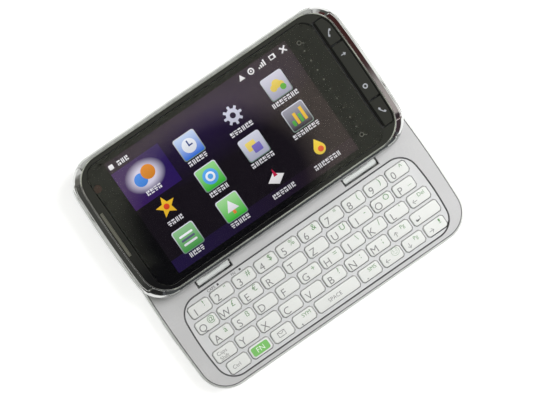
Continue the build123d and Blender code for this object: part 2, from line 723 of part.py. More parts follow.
def speaker_grille():
    """Slotted metal grille, flush in the underside."""
    half_x = SPEAKER_SIZE[0] / 2 - 0.06
    half_y = SPEAKER_SIZE[1] / 2 - 0.06
    x_span = (CAMERA_X - half_x, CAMERA_X + half_x)
    y_span = (SPEAKER_Y - half_y, SPEAKER_Y + half_y)
    grille = rounded_plate(x_span, y_span, 1.9, 0.2, 0.85)
    for slot in range(7):
        y = SPEAKER_Y + (slot - 3) * 1.6
        grille -= block((CAMERA_X - 3, CAMERA_X + 3), (y - 0.35, y + 0.35), (-1, 2))
    return grille


def usb_socket():
    """Folded metal data and charging socket with its contact tongue."""
    y = USB_SIZE[0] / 2
    mouth_y = USB_MOUTH[0] / 2
    z_low = USB_TOP - USB_SIZE[1]
    z_mouth = z_low + (USB_SIZE[1] - USB_MOUTH[1]) / 2
    socket = block((USB_FRONT - USB_DEPTH, USB_FRONT), (-y, y), (z_low, USB_TOP))
    socket = chamfer(socket.edges().filter_by(Axis.X).sort_by(Axis.Z)[:2], 0.8)
    mouth = block((USB_FRONT - USB_DEPTH + 0.8, 60), (-mouth_y, mouth_y), (z_mouth, z_mouth + USB_MOUTH[1]))
    tongue = block((USB_FRONT - USB_DEPTH, USB_FRONT - 1), (-2.6, 2.6), (z_mouth + 1.1, z_mouth + 1.8))
    return socket - mouth + tongue


def stylus_sleeve():
    """Tube that keeps the stylus clear of the battery bay, closed at its far end."""
    start, end = SLEEVE_SPAN_X
    tube = rod(SLEEVE_RADIUS, (start, STYLUS_Y, STYLUS_Z), end - start)
    return tube - rod(SLEEVE_BORE, (start + 0.8, STYLUS_Y, STYLUS_Z), end - start)


def stylus():
    """Stylus with a writing tip and a head cut flush with the shell."""
    tip = SLEEVE_SPAN_X[0] + 1.0
    body = rod(STYLUS_RADIUS, (tip + 1.5, STYLUS_Y, STYLUS_Z), 46.5 - tip)
    head = rod(STYLUS_HEAD_RADIUS, (46, STYLUS_Y, STYLUS_Z), 14) & base_envelope()
    cone = Pos(tip + 0.75, STYLUS_Y, STYLUS_Z) * Rot(0, 90, 0) * Cone(0.5, STYLUS_RADIUS, 1.5)
    return body + head + cone


def side_key(window, flange):
    """Key that fills a window in the shell wall, a little proud, with a flange inside it."""
    return (base_envelope(SIDE_KEY_PROUD) & window) + flange


def power_button():
    """Power key at the -X end."""
    y = POWER_SIZE[0] / 2
    z = POWER_SIZE[1] / 2
    window = block((-60, -56.3), (-y, y), (POWER_Z - z, POWER_Z + z))
    flange = block((-56.3, -55.5), (-y - 0.8, y + 0.8), (POWER_Z - z + 0.1, POWER_Z + z - 0.4))
    return side_key(window, flange & prism(base_outline(SHELL_WALL + 0.08), 0, CUT))


def volume_rocker():
    """Rocker in the keyboard-side wall, with a half-round fulcrum at its middle."""
    x = VOLUME_SIZE[0] / 2
    z = VOLUME_SIZE[1] / 2
    window = block((VOLUME_X - x, VOLUME_X + x), (-31, -27.9), (VOLUME_Z - z, VOLUME_Z + z))
    fulcrum = rod(0.5, (VOLUME_X, -27.9, VOLUME_Z - z), 2 * z, "Z")
    return side_key(window, fulcrum)


def vibration_motor():
    """Motor can with a bore for the shaft of its weight."""
    can = rod(MOTOR_RADIUS, (MOTOR_X, MOTOR_Y, MOTOR_Z), MOTOR_LENGTH)
    return can - rod(SHAFT_RADIUS + 0.05, (MOTOR_X + 1, MOTOR_Y, MOTOR_Z), MOTOR_LENGTH)


def vibrator_weight():
    """Off-centre weight on the motor shaft."""
    front = MOTOR_X + MOTOR_LENGTH + 0.4
    shaft = rod(SHAFT_RADIUS, (MOTOR_X + 1.5, MOTOR_Y, MOTOR_Z), MOTOR_LENGTH + 2.5)
    weight = rod(WEIGHT_RADIUS, (front, MOTOR_Y, MOTOR_Z), 3)
    weight -= block((front - 1, front + 4), (MOTOR_Y - 3, MOTOR_Y + 3), (MOTOR_Z + 0.5, MOTOR_Z + 3))
    return shaft + weight


# ---- assembly -------------------------------------------------------------------------------
def base_pieces():
    """Every piece that stays with the base."""
    layout = keyboard_layout()
    pieces = {
        "lower_shell": lower_shell(),
        "deck": deck(),
        "battery_cover": battery_cover(),
        "battery": battery(),
        "battery_contacts": battery_contacts(),
        "main_board": main_board(),
        "sim_holder": sim_holder(),
        "keyboard_panel": keyboard_panel(layout),
        "key_dome_sheet": key_dome_sheet(),
        "hinge_brackets": hinge_brackets(),
        "hinge_pins": hinge_pins(),
        "camera_module": camera_module(),
        "camera_lens": camera_lens(),
        "loudspeaker": loudspeaker(),
        "speaker_grille": speaker_grille(),
        "usb_socket": usb_socket(),
        "stylus_sleeve": stylus_sleeve(),
        "stylus": stylus(),
        "power_button": power_button(),
        "volume_rocker": volume_rocker(),
        "vibration_motor": vibration_motor(),
        "vibrator_weight": vibrator_weight(),
    }
    for node, places in layout.items():
        caps = [keycap(*place) for place in places]
        pieces[node] = caps[0] if len(caps) == 1 else Compound(children=caps)
    return pieces


def tilt_pieces():
    """The tilt plate and what is riveted to it."""
    return {"tilt_plate": tilt_plate(), "hinge_bars": hinge_bars(), "slide_shoes": slide_shoes()}


def display_pieces():
    """Every piece of the display, moved out to the open position."""
    ring = shoulder_ring()
    bezel = ring
    pieces = {}
    for zone in trim_zones(0).values():
        bezel -= zone
    for node, zone in trim_zones(TRIM_GAP).items():
        pieces[node] = ring & zone
    pieces["display_bezel"] = bezel + lip()
    pieces["display_chassis"] = display_chassis()
    pieces["face_frame"] = face_frame()
    pieces["touch_window"] = touch_window()
    pieces["lcd_panel"] = lcd_panel()
    pieces["display_board"] = display_board()
    pieces["call_key"] = hard_key(CALL_KEY_SPAN)
    pieces["centre_key"] = centre_key()
    pieces["end_key"] = hard_key(END_KEY_SPAN)
    pieces["earpiece_grille"] = earpiece_grille()
    pieces["earpiece"] = earpiece()
    pieces["front_camera"] = front_camera()
    pieces = {node: opened(piece) for node, piece in pieces.items()}
    pieces["slide_rails"] = slide_rails()
    return pieces


def main():
    """Build every piece and write one STEP file for each."""
    os.makedirs("parts", exist_ok=True)
    for pieces in (base_pieces(), tilt_pieces(), display_pieces()):
        for node, shape in pieces.items():
            export_step(shape, f"parts/{node}.step")


main()
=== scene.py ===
"""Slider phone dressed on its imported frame: keycaps, legends, lit screen, finishes and studio."""
import json
import logging
from dataclasses import dataclass, field
from enum import Enum
from math import cos, pi, radians, sin
from typing import Iterable, Sequence

import bmesh
import bpy
from mathutils import Matrix, Vector

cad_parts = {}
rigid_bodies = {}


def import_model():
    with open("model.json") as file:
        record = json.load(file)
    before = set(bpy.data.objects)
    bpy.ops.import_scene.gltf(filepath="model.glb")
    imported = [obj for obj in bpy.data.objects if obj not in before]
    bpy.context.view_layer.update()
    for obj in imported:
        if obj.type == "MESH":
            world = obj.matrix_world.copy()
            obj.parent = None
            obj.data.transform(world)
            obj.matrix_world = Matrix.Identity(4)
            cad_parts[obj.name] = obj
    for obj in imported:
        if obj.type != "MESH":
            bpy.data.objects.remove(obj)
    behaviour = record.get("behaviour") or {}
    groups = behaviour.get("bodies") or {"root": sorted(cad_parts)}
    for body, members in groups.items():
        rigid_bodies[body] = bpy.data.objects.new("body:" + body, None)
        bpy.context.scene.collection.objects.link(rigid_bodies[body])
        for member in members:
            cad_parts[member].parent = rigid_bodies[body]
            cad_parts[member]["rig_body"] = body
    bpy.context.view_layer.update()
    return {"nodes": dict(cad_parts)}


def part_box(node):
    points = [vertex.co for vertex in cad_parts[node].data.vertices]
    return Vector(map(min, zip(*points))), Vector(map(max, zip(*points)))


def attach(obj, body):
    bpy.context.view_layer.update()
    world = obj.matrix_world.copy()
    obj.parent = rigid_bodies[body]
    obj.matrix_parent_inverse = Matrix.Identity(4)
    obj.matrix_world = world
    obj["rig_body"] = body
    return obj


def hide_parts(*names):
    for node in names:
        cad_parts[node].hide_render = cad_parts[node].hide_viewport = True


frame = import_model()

MM = 0.001
CAPITAL_SHARE = 0.682
INK_SPREAD = -0.003
INK_THICKNESS = 0.012

Colour = tuple[float, float, float]
Span = tuple[float, float]
Point = tuple[float, float, float]
BMesh = bmesh.types.BMesh
Faces = list[bmesh.types.BMFace]
Socket = bpy.types.NodeSocket

log = logging.getLogger("slider_phone")


class Body(str, Enum):
    """CAD bodies that carry most of the pieces."""

    BASE = "base"
    DISPLAY = "display"


class Axis(Enum):
    """Direction that brushing, printing or a gradient follows."""

    X = 0
    Y = 1
    Z = 2


class Coordinates(str, Enum):
    """What a coordinate is read from."""

    PLACE = "Object"
    MAP = "UV"
    DIRECTION = "Generated"


def tint(red: int, green: int, blue: int) -> Colour:
    """Linear colour of a display value.

    Args:
        red: Red from 0 to 255.
        green: Green from 0 to 255.
        blue: Blue from 0 to 255.

    Returns:
        The colour in linear light.
    """
    channels = []
    for value in (red, green, blue):
        share = value / 255
        channels.append(share / 12.92 if share <= 0.04045 else ((share + 0.055) / 1.055) ** 2.4)
    return tuple(channels)


def shade(colour: Colour, factor: float) -> Colour:
    """Darker or lighter colour, with every channel taken times a factor."""
    return tuple(min(1.0, channel * factor) for channel in colour)


def in_metres(span: Span) -> Span:
    """Two lengths in millimetres, turned into metres."""
    return span[0] * MM, span[1] * MM


# ---- node trees -----------------------------------------------------------------------------
class NodeBench:
    """Node tree of one material or world, with short calls for what they share."""

    def __init__(self, owner: bpy.types.Material | bpy.types.World) -> None:
        """Start an empty tree.

        Args:
            owner: Material or world that the tree belongs to.
        """
        self.owner = owner
        owner.use_nodes = True
        self.tree = owner.node_tree
        self.tree.nodes.clear()
        kind = "World" if isinstance(owner, bpy.types.World) else "Material"
        self.output = self.add(f"ShaderNodeOutput{kind}")
        self.place = self.add("ShaderNodeTexCoord")

    def add(self, kind: str, **settings: object) -> bpy.types.Node:
        """Add a node.

        Args:
            kind: Blender's name of the node type.
            **settings: Properties to set on it.

        Returns:
            The new node.
        """
        node = self.tree.nodes.new(kind)
        for key, value in settings.items():
            setattr(node, key, value)
        return node

    def feed(self, node: bpy.types.Node, socket: str | int, value: object) -> None:
        """Link or set one input.

        Args:
            node: Node to feed.
            socket: Name or index of the input.
            value: An output socket, or a plain value.
        """
        if isinstance(value, Socket):
            self.tree.links.new(value, node.inputs[socket])
        elif isinstance(value, tuple) and len(value) == 3 and node.inputs[socket].type == "RGBA":
            node.inputs[socket].default_value = (*value, 1.0)
        else:
            node.inputs[socket].default_value = value

    def stretched(self, scale: Point) -> Socket:
        """Object coordinates stretched per axis.

        Args:
            scale: Factor along each axis.

        Returns:
            The stretched vector.
        """
        mapping = self.add("ShaderNodeMapping")
        self.feed(mapping, "Vector", self.place.outputs["Object"])
        self.feed(mapping, "Scale", scale)
        return mapping.outputs["Vector"]

    def noise(self, grain_mm: float, detail: float = 3.0, vector: Socket | None = None) -> Socket:
        """Fractal noise with a grain of a given size.

        Args:
            grain_mm: Size of one grain in millimetres.
            detail: Octaves of finer noise.
            vector: Coordinates to read, or None for plain object coordinates.

        Returns:
            The noise value.
        """
        texture = self.add("ShaderNodeTexNoise")
        self.feed(texture, "Vector", vector or self.place.outputs["Object"])
        self.feed(texture, "Scale", 1 / (grain_mm * MM))
        self.feed(texture, "Detail", detail)
        return texture.outputs["Fac"]

    def cells(self, pitch_mm: float, randomness: float = 0.0) -> Socket:
        """Distance to the nearest of a lattice of points.

        Args:
            pitch_mm: Distance between points in millimetres.
            randomness: How far the points stray.

        Returns:
            The distance, in pitches.
        """
        texture = self.add("ShaderNodeTexVoronoi")
        self.feed(texture, "Vector", self.place.outputs["Object"])
        self.feed(texture, "Scale", 1 / (pitch_mm * MM))
        self.feed(texture, "Randomness", randomness)
        return texture.outputs["Distance"]

    def ranged(self, value: object, source: Span, target: Span) -> Socket:
        """Value moved from one range to another and clamped.

        Args:
            value: Output socket to remap.
            source: Range that comes in.
            target: Range that goes out.

        Returns:
            The remapped value.
        """
        node = self.add("ShaderNodeMapRange")
        for index, part in enumerate((value, *source, *target)):
            self.feed(node, index, part)
        return node.outputs["Result"]

    def blend(self, factor: object, first: object, second: object) -> Socket:
        """Mix of two colours.

        Args:
            factor: Share of the second colour.
            first: Colour at factor 0.
            second: Colour at factor 1.

        Returns:
            The mixed colour.
        """
        node = self.add("ShaderNodeMix", data_type="RGBA")
        self.feed(node, 0, factor)
        self.feed(node, 6, first)
        self.feed(node, 7, second)
        return node.outputs[2]

    def fade(self, value: object, span: Span, first: object, second: object) -> Socket:
        """Colour that changes from the first to the second over a span of a value."""
        return self.blend(self.ranged(value, span, (0.0, 1.0)), first, second)

    def math(self, operation: str, first: object, second: object = 0.0) -> Socket:
        """Result of a sum on two values.

        Args:
            operation: Blender's name of the operation.
            first: First value.
            second: Second value.

        Returns:
            The result.
        """
        node = self.add("ShaderNodeMath", operation=operation)
        self.feed(node, 0, first)
        self.feed(node, 1, second)
        return node.outputs[0]

    def axis_value(self, axis: Axis, source: Coordinates = Coordinates.PLACE) -> Socket:
        """One coordinate of the surface, its map or the looking direction.

        Args:
            axis: Which coordinate.
            source: What it is read from.

        Returns:
            The coordinate.
        """
        split = self.add("ShaderNodeSeparateXYZ")
        self.feed(split, 0, self.place.outputs[source.value])
        return split.outputs[axis.value]

    def reach(self, x: object, y: object, centre: Span, radii: Span) -> Socket:
        """Distance from the middle of an oval, in shares of its radii.

        Args:
            x: First coordinate.
            y: Second coordinate.
            centre: Middle of the oval.
            radii: Its two radii.

        Returns:
            The distance, one on the oval itself.
        """
        parts = []
        for value, middle, radius in zip((x, y), centre, radii):
            offset = self.math("DIVIDE", self.math("SUBTRACT", value, middle), radius)
            parts.append(self.math("MULTIPLY", offset, offset))
        return self.math("SQRT", self.math("ADD", *parts))

    def between(self, value: object, span: Span, soft: float) -> Socket:
        """Share of a value that lies in a span.

        Args:
            value: Output socket to test.
            span: Lowest and highest value.
            soft: Width of the change at both ends.

        Returns:
            One inside the span and nought outside it.
        """
        above = self.ranged(value, (span[0] - soft, span[0]), (0.0, 1.0))
        return self.math("MULTIPLY", above, self.ranged(value, (span[1], span[1] + soft), (1.0, 0.0)))

    def bump(self, height: object, depth_mm: float) -> Socket:
        """Surface normal roughened by a height.

        Args:
            height: Height from 0 to 1.
            depth_mm: Depth of the relief in millimetres.

        Returns:
            The normal.
        """
        node = self.add("ShaderNodeBump")
        self.feed(node, "Strength", 1.0)
        self.feed(node, "Distance", depth_mm * MM)
        self.feed(node, "Height", height)
        return node.outputs["Normal"]

    def surface(self, **inputs: object) -> bpy.types.Material:
        """Close the tree with one principled shader.

        Args:
            **inputs: Shader inputs, with underscores for the spaces in their names.

        Returns:
            The finished material.
        """
        shader = self.add("ShaderNodeBsdfPrincipled")
        for key, value in inputs.items():
            self.feed(shader, key.replace("_", " "), value)
        self.feed(self.output, "Surface", shader.outputs[0])
        return self.owner

    def shine_through(self, colour: object) -> bpy.types.Material:
        """Close the tree with light that shines from under a dark, brownish mirror.

        Args:
            colour: Colour of the light.

        Returns:
            The finished material.
        """
        return self.surface(
            Base_Color=(0.002, 0.002, 0.002),
            Roughness=0.02,
            Specular_IOR_Level=0.9,
            Specular_Tint=(1.0, 0.8, 0.84),
            Emission_Color=colour,
            Emission_Strength=1.0,
        )


# ---- finishes -------------------------------------------------------------------------------
@dataclass(frozen=True)
class Finish:
    """A named surface finish that can make its own material once."""

    name: str

    def build(self, bench: NodeBench) -> bpy.types.Material:
        """Lay out the nodes of this finish.

        Args:
            bench: Empty tree to fill.

        Returns:
            The finished material.
        """
        raise NotImplementedError

    def material(self) -> bpy.types.Material:
        """The material of this finish, made on first use."""
        return bpy.data.materials.get(self.name) or self.build(NodeBench(bpy.data.materials.new(self.name)))


@dataclass(frozen=True)
class Moulding(Finish):
    """Painted or self-coloured moulding with a fine grain, and painted shade in a band of height where its
    grooves and gaps fall in shadow.
    """

    colour: Colour = (0.5, 0.5, 0.5)
    roughness: float = 0.45
    metallic: float = 0.0
    grain_mm: float = 0.22
    grain_depth_mm: float = 0.004
    mottle: float = 0.05
    painted_shade_band_mm: Span | None = None
    joint_shade: Colour = tint(40, 40, 42)
    painted_shade_soft_mm: float = 0.04
    speckle: float = 0.25

    def build(self, bench: NodeBench) -> bpy.types.Material:
        """Grained colour over a bumped surface; see Finish.build."""
        patches = bench.noise(14.0, 4.0)
        grain = bench.noise(self.grain_mm, 2.0)
        dark = shade(self.colour, 1 - self.mottle)
        colour = bench.fade(patches, (0.3, 0.7), dark, shade(self.colour, 1 + self.mottle))
        colour = bench.blend(bench.ranged(grain, (0.35, 0.75), (0.0, self.speckle)), colour, dark)
        # Painted shade: inside the height band the colour turns to joint_shade, standing for the shadow in
        # grooves, pan walls and gaps round the keys.
        if self.painted_shade_band_mm is not None:
            joint = bench.between(bench.axis_value(Axis.Z), in_metres(self.painted_shade_band_mm), self.painted_shade_soft_mm * MM)
            colour = bench.blend(joint, colour, self.joint_shade)
        rough = bench.ranged(patches, (0.3, 0.7), (self.roughness * 0.9, self.roughness * 1.12))
        normal = bench.bump(grain, self.grain_depth_mm)
        return bench.surface(Base_Color=colour, Roughness=rough, Metallic=self.metallic, Normal=normal)


@dataclass(frozen=True)
class BrushedMetal(Finish):
    """Metal with fine parallel scratches."""

    colour: Colour = (0.6, 0.6, 0.62)
    roughness: float = 0.3
    along: Axis = Axis.X
    streak_mm: float = 0.12

    def build(self, bench: NodeBench) -> bpy.types.Material:
        """Noise drawn out along the brushing; see Finish.build."""
        scale = [1.0, 1.0, 1.0]
        scale[self.along.value] = 0.02
        streaks = bench.noise(self.streak_mm, 3.0, bench.stretched(tuple(scale)))
        clouds = bench.noise(9.0, 2.0)
        colour = bench.fade(streaks, (0.3, 0.7), shade(self.colour, 0.82), self.colour)
        rough = bench.math("ADD", bench.ranged(streaks, (0.2, 0.8), (-0.08, 0.08)), self.roughness)
        rough = bench.math("ADD", rough, bench.ranged(clouds, (0.3, 0.7), (-0.04, 0.04)))
        normal = bench.bump(streaks, 0.003)
        return bench.surface(Base_Color=colour, Metallic=1.0, Roughness=rough, Normal=normal)


@dataclass(frozen=True)
class DarkChrome(Finish):
    """Smoked mirror plating with faint finger smears."""

    colour: Colour = (0.2, 0.2, 0.22)
    roughness: float = 0.06

    def build(self, bench: NodeBench) -> bpy.types.Material:
        """Mirror metal with smears in its roughness; see Finish.build."""
        smears = bench.noise(6.0, 5.0, bench.stretched((1.0, 0.45, 1.0)))
        pits = bench.noise(0.5, 2.0)
        colour = bench.fade(smears, (0.35, 0.7), self.colour, shade(self.colour, 0.8))
        rough = bench.ranged(smears, (0.35, 0.75), (self.roughness, self.roughness + 0.07))
        normal = bench.bump(pits, 0.0006)
        return bench.surface(Base_Color=colour, Metallic=1.0, Roughness=rough, Normal=normal)


@dataclass(frozen=True)
class PianoBlack(Finish):
    """Polished black plastic or glass with dust and faint smears."""

    colour: Colour = (0.004, 0.004, 0.004)
    roughness: float = 0.05

    def build(self, bench: NodeBench) -> bpy.types.Material:
        """Near-black body, smeared gloss and sparse specks; see Finish.build."""
        smears = bench.noise(11.0, 5.0)
        dust = bench.ranged(bench.cells(9.0, 1.0), (0.012, 0.016), (0.1, 0.0))
        colour = bench.blend(dust, self.colour, (0.4, 0.4, 0.38))
        rough = bench.ranged(smears, (0.35, 0.75), (self.roughness, self.roughness + 0.05))
        return bench.surface(Base_Color=colour, Roughness=rough)


@dataclass(frozen=True)
class ClearPane(Finish):
    """Clear bonded touch panel, very slightly smeared, which leaves the gloss to what lies under it."""

    roughness: float = 0.0
    density: float = 1.04

    def build(self, bench: NodeBench) -> bpy.types.Material:
        """Glass with smears in its gloss; see Finish.build."""
        smears = bench.noise(9.0, 4.0)
        rough = bench.ranged(smears, (0.5, 0.8), (self.roughness, self.roughness + 0.02))
        stain = bench.ranged(smears, (0.4, 0.8), (0.0, 0.2))
        colour = bench.blend(stain, (1.0, 1.0, 1.0), (0.96, 0.97, 0.97))
        return bench.surface(Base_Color=colour, Roughness=rough, IOR=self.density, Transmission_Weight=1.0)


@dataclass(frozen=True)
class LitPixels(Finish):
    """Lit part of the screen: a gradient of light with the pixel rows in it."""

    upper: Colour = (1.0, 1.0, 1.0)
    lower: Colour = (1.0, 1.0, 1.0)
    reach_mm: Span | None = None
    axis: Axis = Axis.Y
    pixel_mm: float = 0.1

    def build(self, bench: NodeBench) -> bpy.types.Material:
        """Emission that runs from lower to upper; see Finish.build."""
        if self.reach_mm is None:
            share = bench.axis_value(self.axis, Coordinates.MAP)
        else:
            share = bench.ranged(bench.axis_value(self.axis), in_metres(self.reach_mm), (0.0, 1.0))
        colour = bench.blend(share, self.lower, self.upper)
        rows = bench.math("MULTIPLY", bench.axis_value(Axis.Y), 2 * pi / (self.pixel_mm * MM))
        rows = bench.ranged(bench.math("SINE", rows), (-1.0, 1.0), (0.0, 0.06))
        return bench.shine_through(bench.blend(rows, colour, (0.0, 0.0, 0.0)))


@dataclass(frozen=True)
class HaloGlow(Finish):
    """Soft oval light behind the chosen icon, over the colour of its cell."""

    centre_mm: Span = (0.0, 0.0)
    radii_mm: Span = (7.5, 5.5)
    core: Colour = (0.8, 0.75, 0.9)
    near: Colour = (0.05, 0.02, 0.12)
    far: Colour = (0.02, 0.01, 0.08)
    span_mm: Span = (-1.0, 1.0)
    fade: Span = (0.6, 1.2)

    def build(self, bench: NodeBench) -> bpy.types.Material:
        """Oval falloff over a sideways gradient; see Finish.build."""
        x, y = bench.axis_value(Axis.X), bench.axis_value(Axis.Y)
        reach = bench.reach(x, y, in_metres(self.centre_mm), in_metres(self.radii_mm))
        cell = bench.fade(x, in_metres(self.span_mm), self.near, self.far)
        return bench.shine_through(bench.blend(bench.ranged(reach, self.fade, (1.0, 0.0)), cell, self.core))


@dataclass(frozen=True)
class PrintedInk(Finish):
    """Printed marks with a slightly broken edge to their colour."""

    colour: Colour = (0.2, 0.2, 0.2)
    roughness: float = 0.5

    def build(self, bench: NodeBench) -> bpy.types.Material:
        """Ink thinned by a fine noise; see Finish.build."""
        worn = bench.ranged(bench.noise(0.3, 3.0), (0.3, 0.8), (0.0, 0.3))
        pale = tuple(channel * 0.7 + 0.2 for channel in self.colour)
        return bench.surface(Base_Color=bench.blend(worn, self.colour, pale), Roughness=self.roughness)


@dataclass(frozen=True)
class PerforatedMesh(Finish):
    """Woven or pierced metal whose holes are painted near black: painted shade in place of openings."""

    colour: Colour = (0.5, 0.5, 0.5)
    pitch_mm: float = 0.45

    def build(self, bench: NodeBench) -> bpy.types.Material:
        """Round holes on a square lattice; see Finish.build."""
        # Painted shade: each hole is a near-black, non-metal spot, not an opening.
        hole = bench.ranged(bench.cells(self.pitch_mm), (0.26, 0.34), (1.0, 0.0))
        colour = bench.blend(hole, self.colour, (0.005, 0.005, 0.005))
        metal = bench.math("SUBTRACT", 1.0, hole)
        normal = bench.bump(metal, 0.05)
        return bench.surface(Base_Color=colour, Metallic=metal, Roughness=0.35, Normal=normal)


@dataclass(frozen=True)
class CircuitLaminate(Finish):
    """Green solder resist over traces, with tinned pads."""

    colour: Colour = (0.01, 0.08, 0.04)

    def build(self, bench: NodeBench) -> bpy.types.Material:
        """Traces from a stepped noise and pads from a lattice; see Finish.build."""
        traces = bench.ranged(bench.noise(1.4, 0.0), (0.48, 0.5), (0.0, 1.0))
        pads = bench.ranged(bench.cells(2.6, 0.8), (0.12, 0.15), (1.0, 0.0))
        resist = bench.blend(traces, self.colour, shade(self.colour, 1.9))
        colour = bench.blend(pads, resist, (0.6, 0.58, 0.5))
        normal = bench.bump(traces, 0.03)
        return bench.surface(Base_Color=colour, Roughness=0.35, Metallic=pads, Normal=normal)


@dataclass(frozen=True)
class StudioFloor(Finish):
    """Pale floor that reads as white and keeps the shadow of the phone."""

    colour: Colour = (0.8, 0.8, 0.8)
    lift: float = 0.6

    def build(self, bench: NodeBench) -> bpy.types.Material:
        """Diffuse floor, lifted to white where it is seen; see Finish.build."""
        paper = bench.fade(bench.noise(160.0, 2.0), (0.3, 0.7), self.colour, (0.79, 0.79, 0.79))
        shader = bench.add("ShaderNodeBsdfDiffuse")
        bench.feed(shader, "Color", paper)
        path = bench.add("ShaderNodeLightPath")
        seen = bench.math("MAXIMUM", path.outputs["Is Camera Ray"], path.outputs["Is Glossy Ray"])
        seen = bench.math("MAXIMUM", seen, path.outputs["Is Transmission Ray"])
        light = bench.add("ShaderNodeEmission")
        bench.feed(light, "Strength", bench.math("MULTIPLY", seen, self.lift))
        both = bench.add("ShaderNodeAddShader")
        bench.feed(both, 0, shader.outputs[0])
        bench.feed(both, 1, light.outputs[0])
        bench.feed(bench.output, "Surface", both.outputs[0])
        return bench.owner


SHELL_PAINT = Moulding("shell_pearl_paint", tint(222, 225, 222), 0.38, 0.1)
# DECK_PAINT and PANEL_PAINT carry painted shade: the deck darkens from 8.2 to 9.33 mm high in its groove and
# pan walls, and the panel darkens below 9.26 mm in its key gaps.
DECK_PAINT = Moulding(
    "deck_silver_paint", tint(203, 203, 205), 0.42, 0.1, 0.34, 0.006, 0.05, (8.2, 9.33), speckle=0.9
)
PANEL_PAINT = Moulding(
    "keyboard_panel_paint", tint(212, 213, 215), 0.45, 0.05, 0.16, 0.005, 0.03, (0.0, 9.26), tint(92, 92, 95)
)
KEY_PLASTIC = Moulding("keycap_milky_plastic", tint(225, 227, 225), 0.4, 0.0, 0.12, 0.002, 0.02)
KEY_GREEN = Moulding("keycap_green_plastic", tint(126, 196, 106), 0.35, 0.0, 0.12, 0.002, 0.04)
BAR_PAINT = Moulding("hinge_bar_silver", tint(238, 242, 240), 0.4, 0.0, 0.16, 0.003, 0.03)
SIDE_KEY_PAINT = Moulding("side_key_silver", tint(205, 207, 209), 0.3, 0.5, 0.12, 0.002, 0.03)
BLACK_MOULDING = Moulding("black_moulding", tint(26, 26, 27), 0.55, 0.0, 0.2, 0.01, 0.15)
# Painted shade: matt black for the shadowed gap between the touch window and the hard keys.
KEY_GAP_SHADE = Moulding("key_gap_shade_black", (0.002, 0.002, 0.002), 0.7, 0.0, 0.2, 0.002, 0.1)
NYLON = Moulding("dark_nylon", tint(58, 58, 60), 0.5, 0.0, 0.3, 0.006, 0.1)
DOME_FILM = Moulding("dome_film", tint(214, 214, 200), 0.35, 0.0, 0.4, 0.004, 0.06)
MAGNESIUM = Moulding("cast_magnesium", tint(128, 130, 132), 0.6, 0.7, 0.35, 0.02, 0.12)
BATTERY_WRAP = Moulding("battery_wrap", tint(70, 72, 76), 0.4, 0.2, 0.3, 0.004, 0.08)
STYLUS_PAINT = Moulding("stylus_silver", tint(188, 190, 192), 0.32, 0.5, 0.14, 0.002, 0.04)
STEEL = BrushedMetal("brushed_steel", tint(196, 196, 198), 0.3, Axis.X)
STEEL_ACROSS = BrushedMetal("brushed_steel_across", tint(190, 190, 193), 0.28, Axis.Y)
CONTACT_GOLD = BrushedMetal("contact_gold", tint(214, 178, 96), 0.25)
COVER_METAL = BrushedMetal("brushed_cover_metal", tint(176, 178, 182), 0.34, Axis.X, 0.15)
BEZEL_CHROME = DarkChrome("bezel_dark_chrome", tint(208, 209, 208), 0.05)
TRIM_CHROME = DarkChrome("trim_dark_chrome", tint(184, 186, 183), 0.06)
SATIN_CHROME = DarkChrome("trim_satin_chrome", tint(178, 180, 177), 0.2)
FACE_BLACK = PianoBlack("face_gloss_black")
KEY_BLACK = PianoBlack("hard_key_gloss_black", (0.006, 0.006, 0.006), 0.08)
MASK_BLACK = PianoBlack("window_mask_black", (0.003, 0.003, 0.003), 0.02)
LENS_BLACK = PianoBlack("lens_gloss_black", (0.003, 0.003, 0.006), 0.03)
PANE = ClearPane("touch_pane")
EAR_MESH = PerforatedMesh("earpiece_mesh", tint(146, 144, 138), 0.62)
SPEAKER_MESH = PerforatedMesh("speaker_mesh", tint(150, 152, 156), 0.5)
LAMINATE = CircuitLaminate("circuit_laminate")
LEGEND_GREY = PrintedInk("legend_grey_ink", tint(122, 122, 124))
LEGEND_GREEN = PrintedInk("legend_green_ink", tint(84, 138, 78))
LEGEND_WHITE = PrintedInk("legend_white_ink", tint(238, 246, 236))
LEGEND_DARK = PrintedInk("legend_dark_ink", tint(66, 66, 70))
FAINT_MARK = PrintedInk("faint_face_mark", tint(170, 170, 162))
KEY_MARK = PrintedInk("hard_key_mark", tint(160, 163, 170))


# ---- shared shaping -------------------------------------------------------------------------
def box_mm(node: str) -> tuple[Vector, Vector, Vector]:
    """Lowest corner, highest corner and middle of a CAD node, in millimetres."""
    low, high = (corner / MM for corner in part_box(node))
    return low, high, (low + high) / 2


def linked(name: str, data: bpy.types.ID) -> bpy.types.Object:
    """Object that carries some data and is part of the scene.

    Args:
        name: Name of the object.
        data: Mesh, curve, lamp or camera data.

    Returns:
        The new object.
    """
    item = bpy.data.objects.new(name, data)
    bpy.context.scene.collection.objects.link(item)
    return item


def evaluated_mesh(item: bpy.types.Object) -> bpy.types.Mesh:
    """Mesh that an object comes to with its modifiers applied."""
    graph = bpy.context.evaluated_depsgraph_get()
    return bpy.data.meshes.new_from_object(item.evaluated_get(graph), depsgraph=graph)


def baked(bm: BMesh, name: str) -> bpy.types.Mesh:
    """Mesh made from a bmesh.

    Args:
        bm: Mesh to turn, which is freed.
        name: Name of the new mesh.

    Returns:
        The new mesh.
    """
    mesh = bpy.data.meshes.new(name)
    bm.to_mesh(mesh)
    bm.free()
    return mesh


def paint(faces: Iterable[bmesh.types.BMFace], index: int) -> None:
    """Give faces a material index."""
    for face in faces:
        face.material_index = index


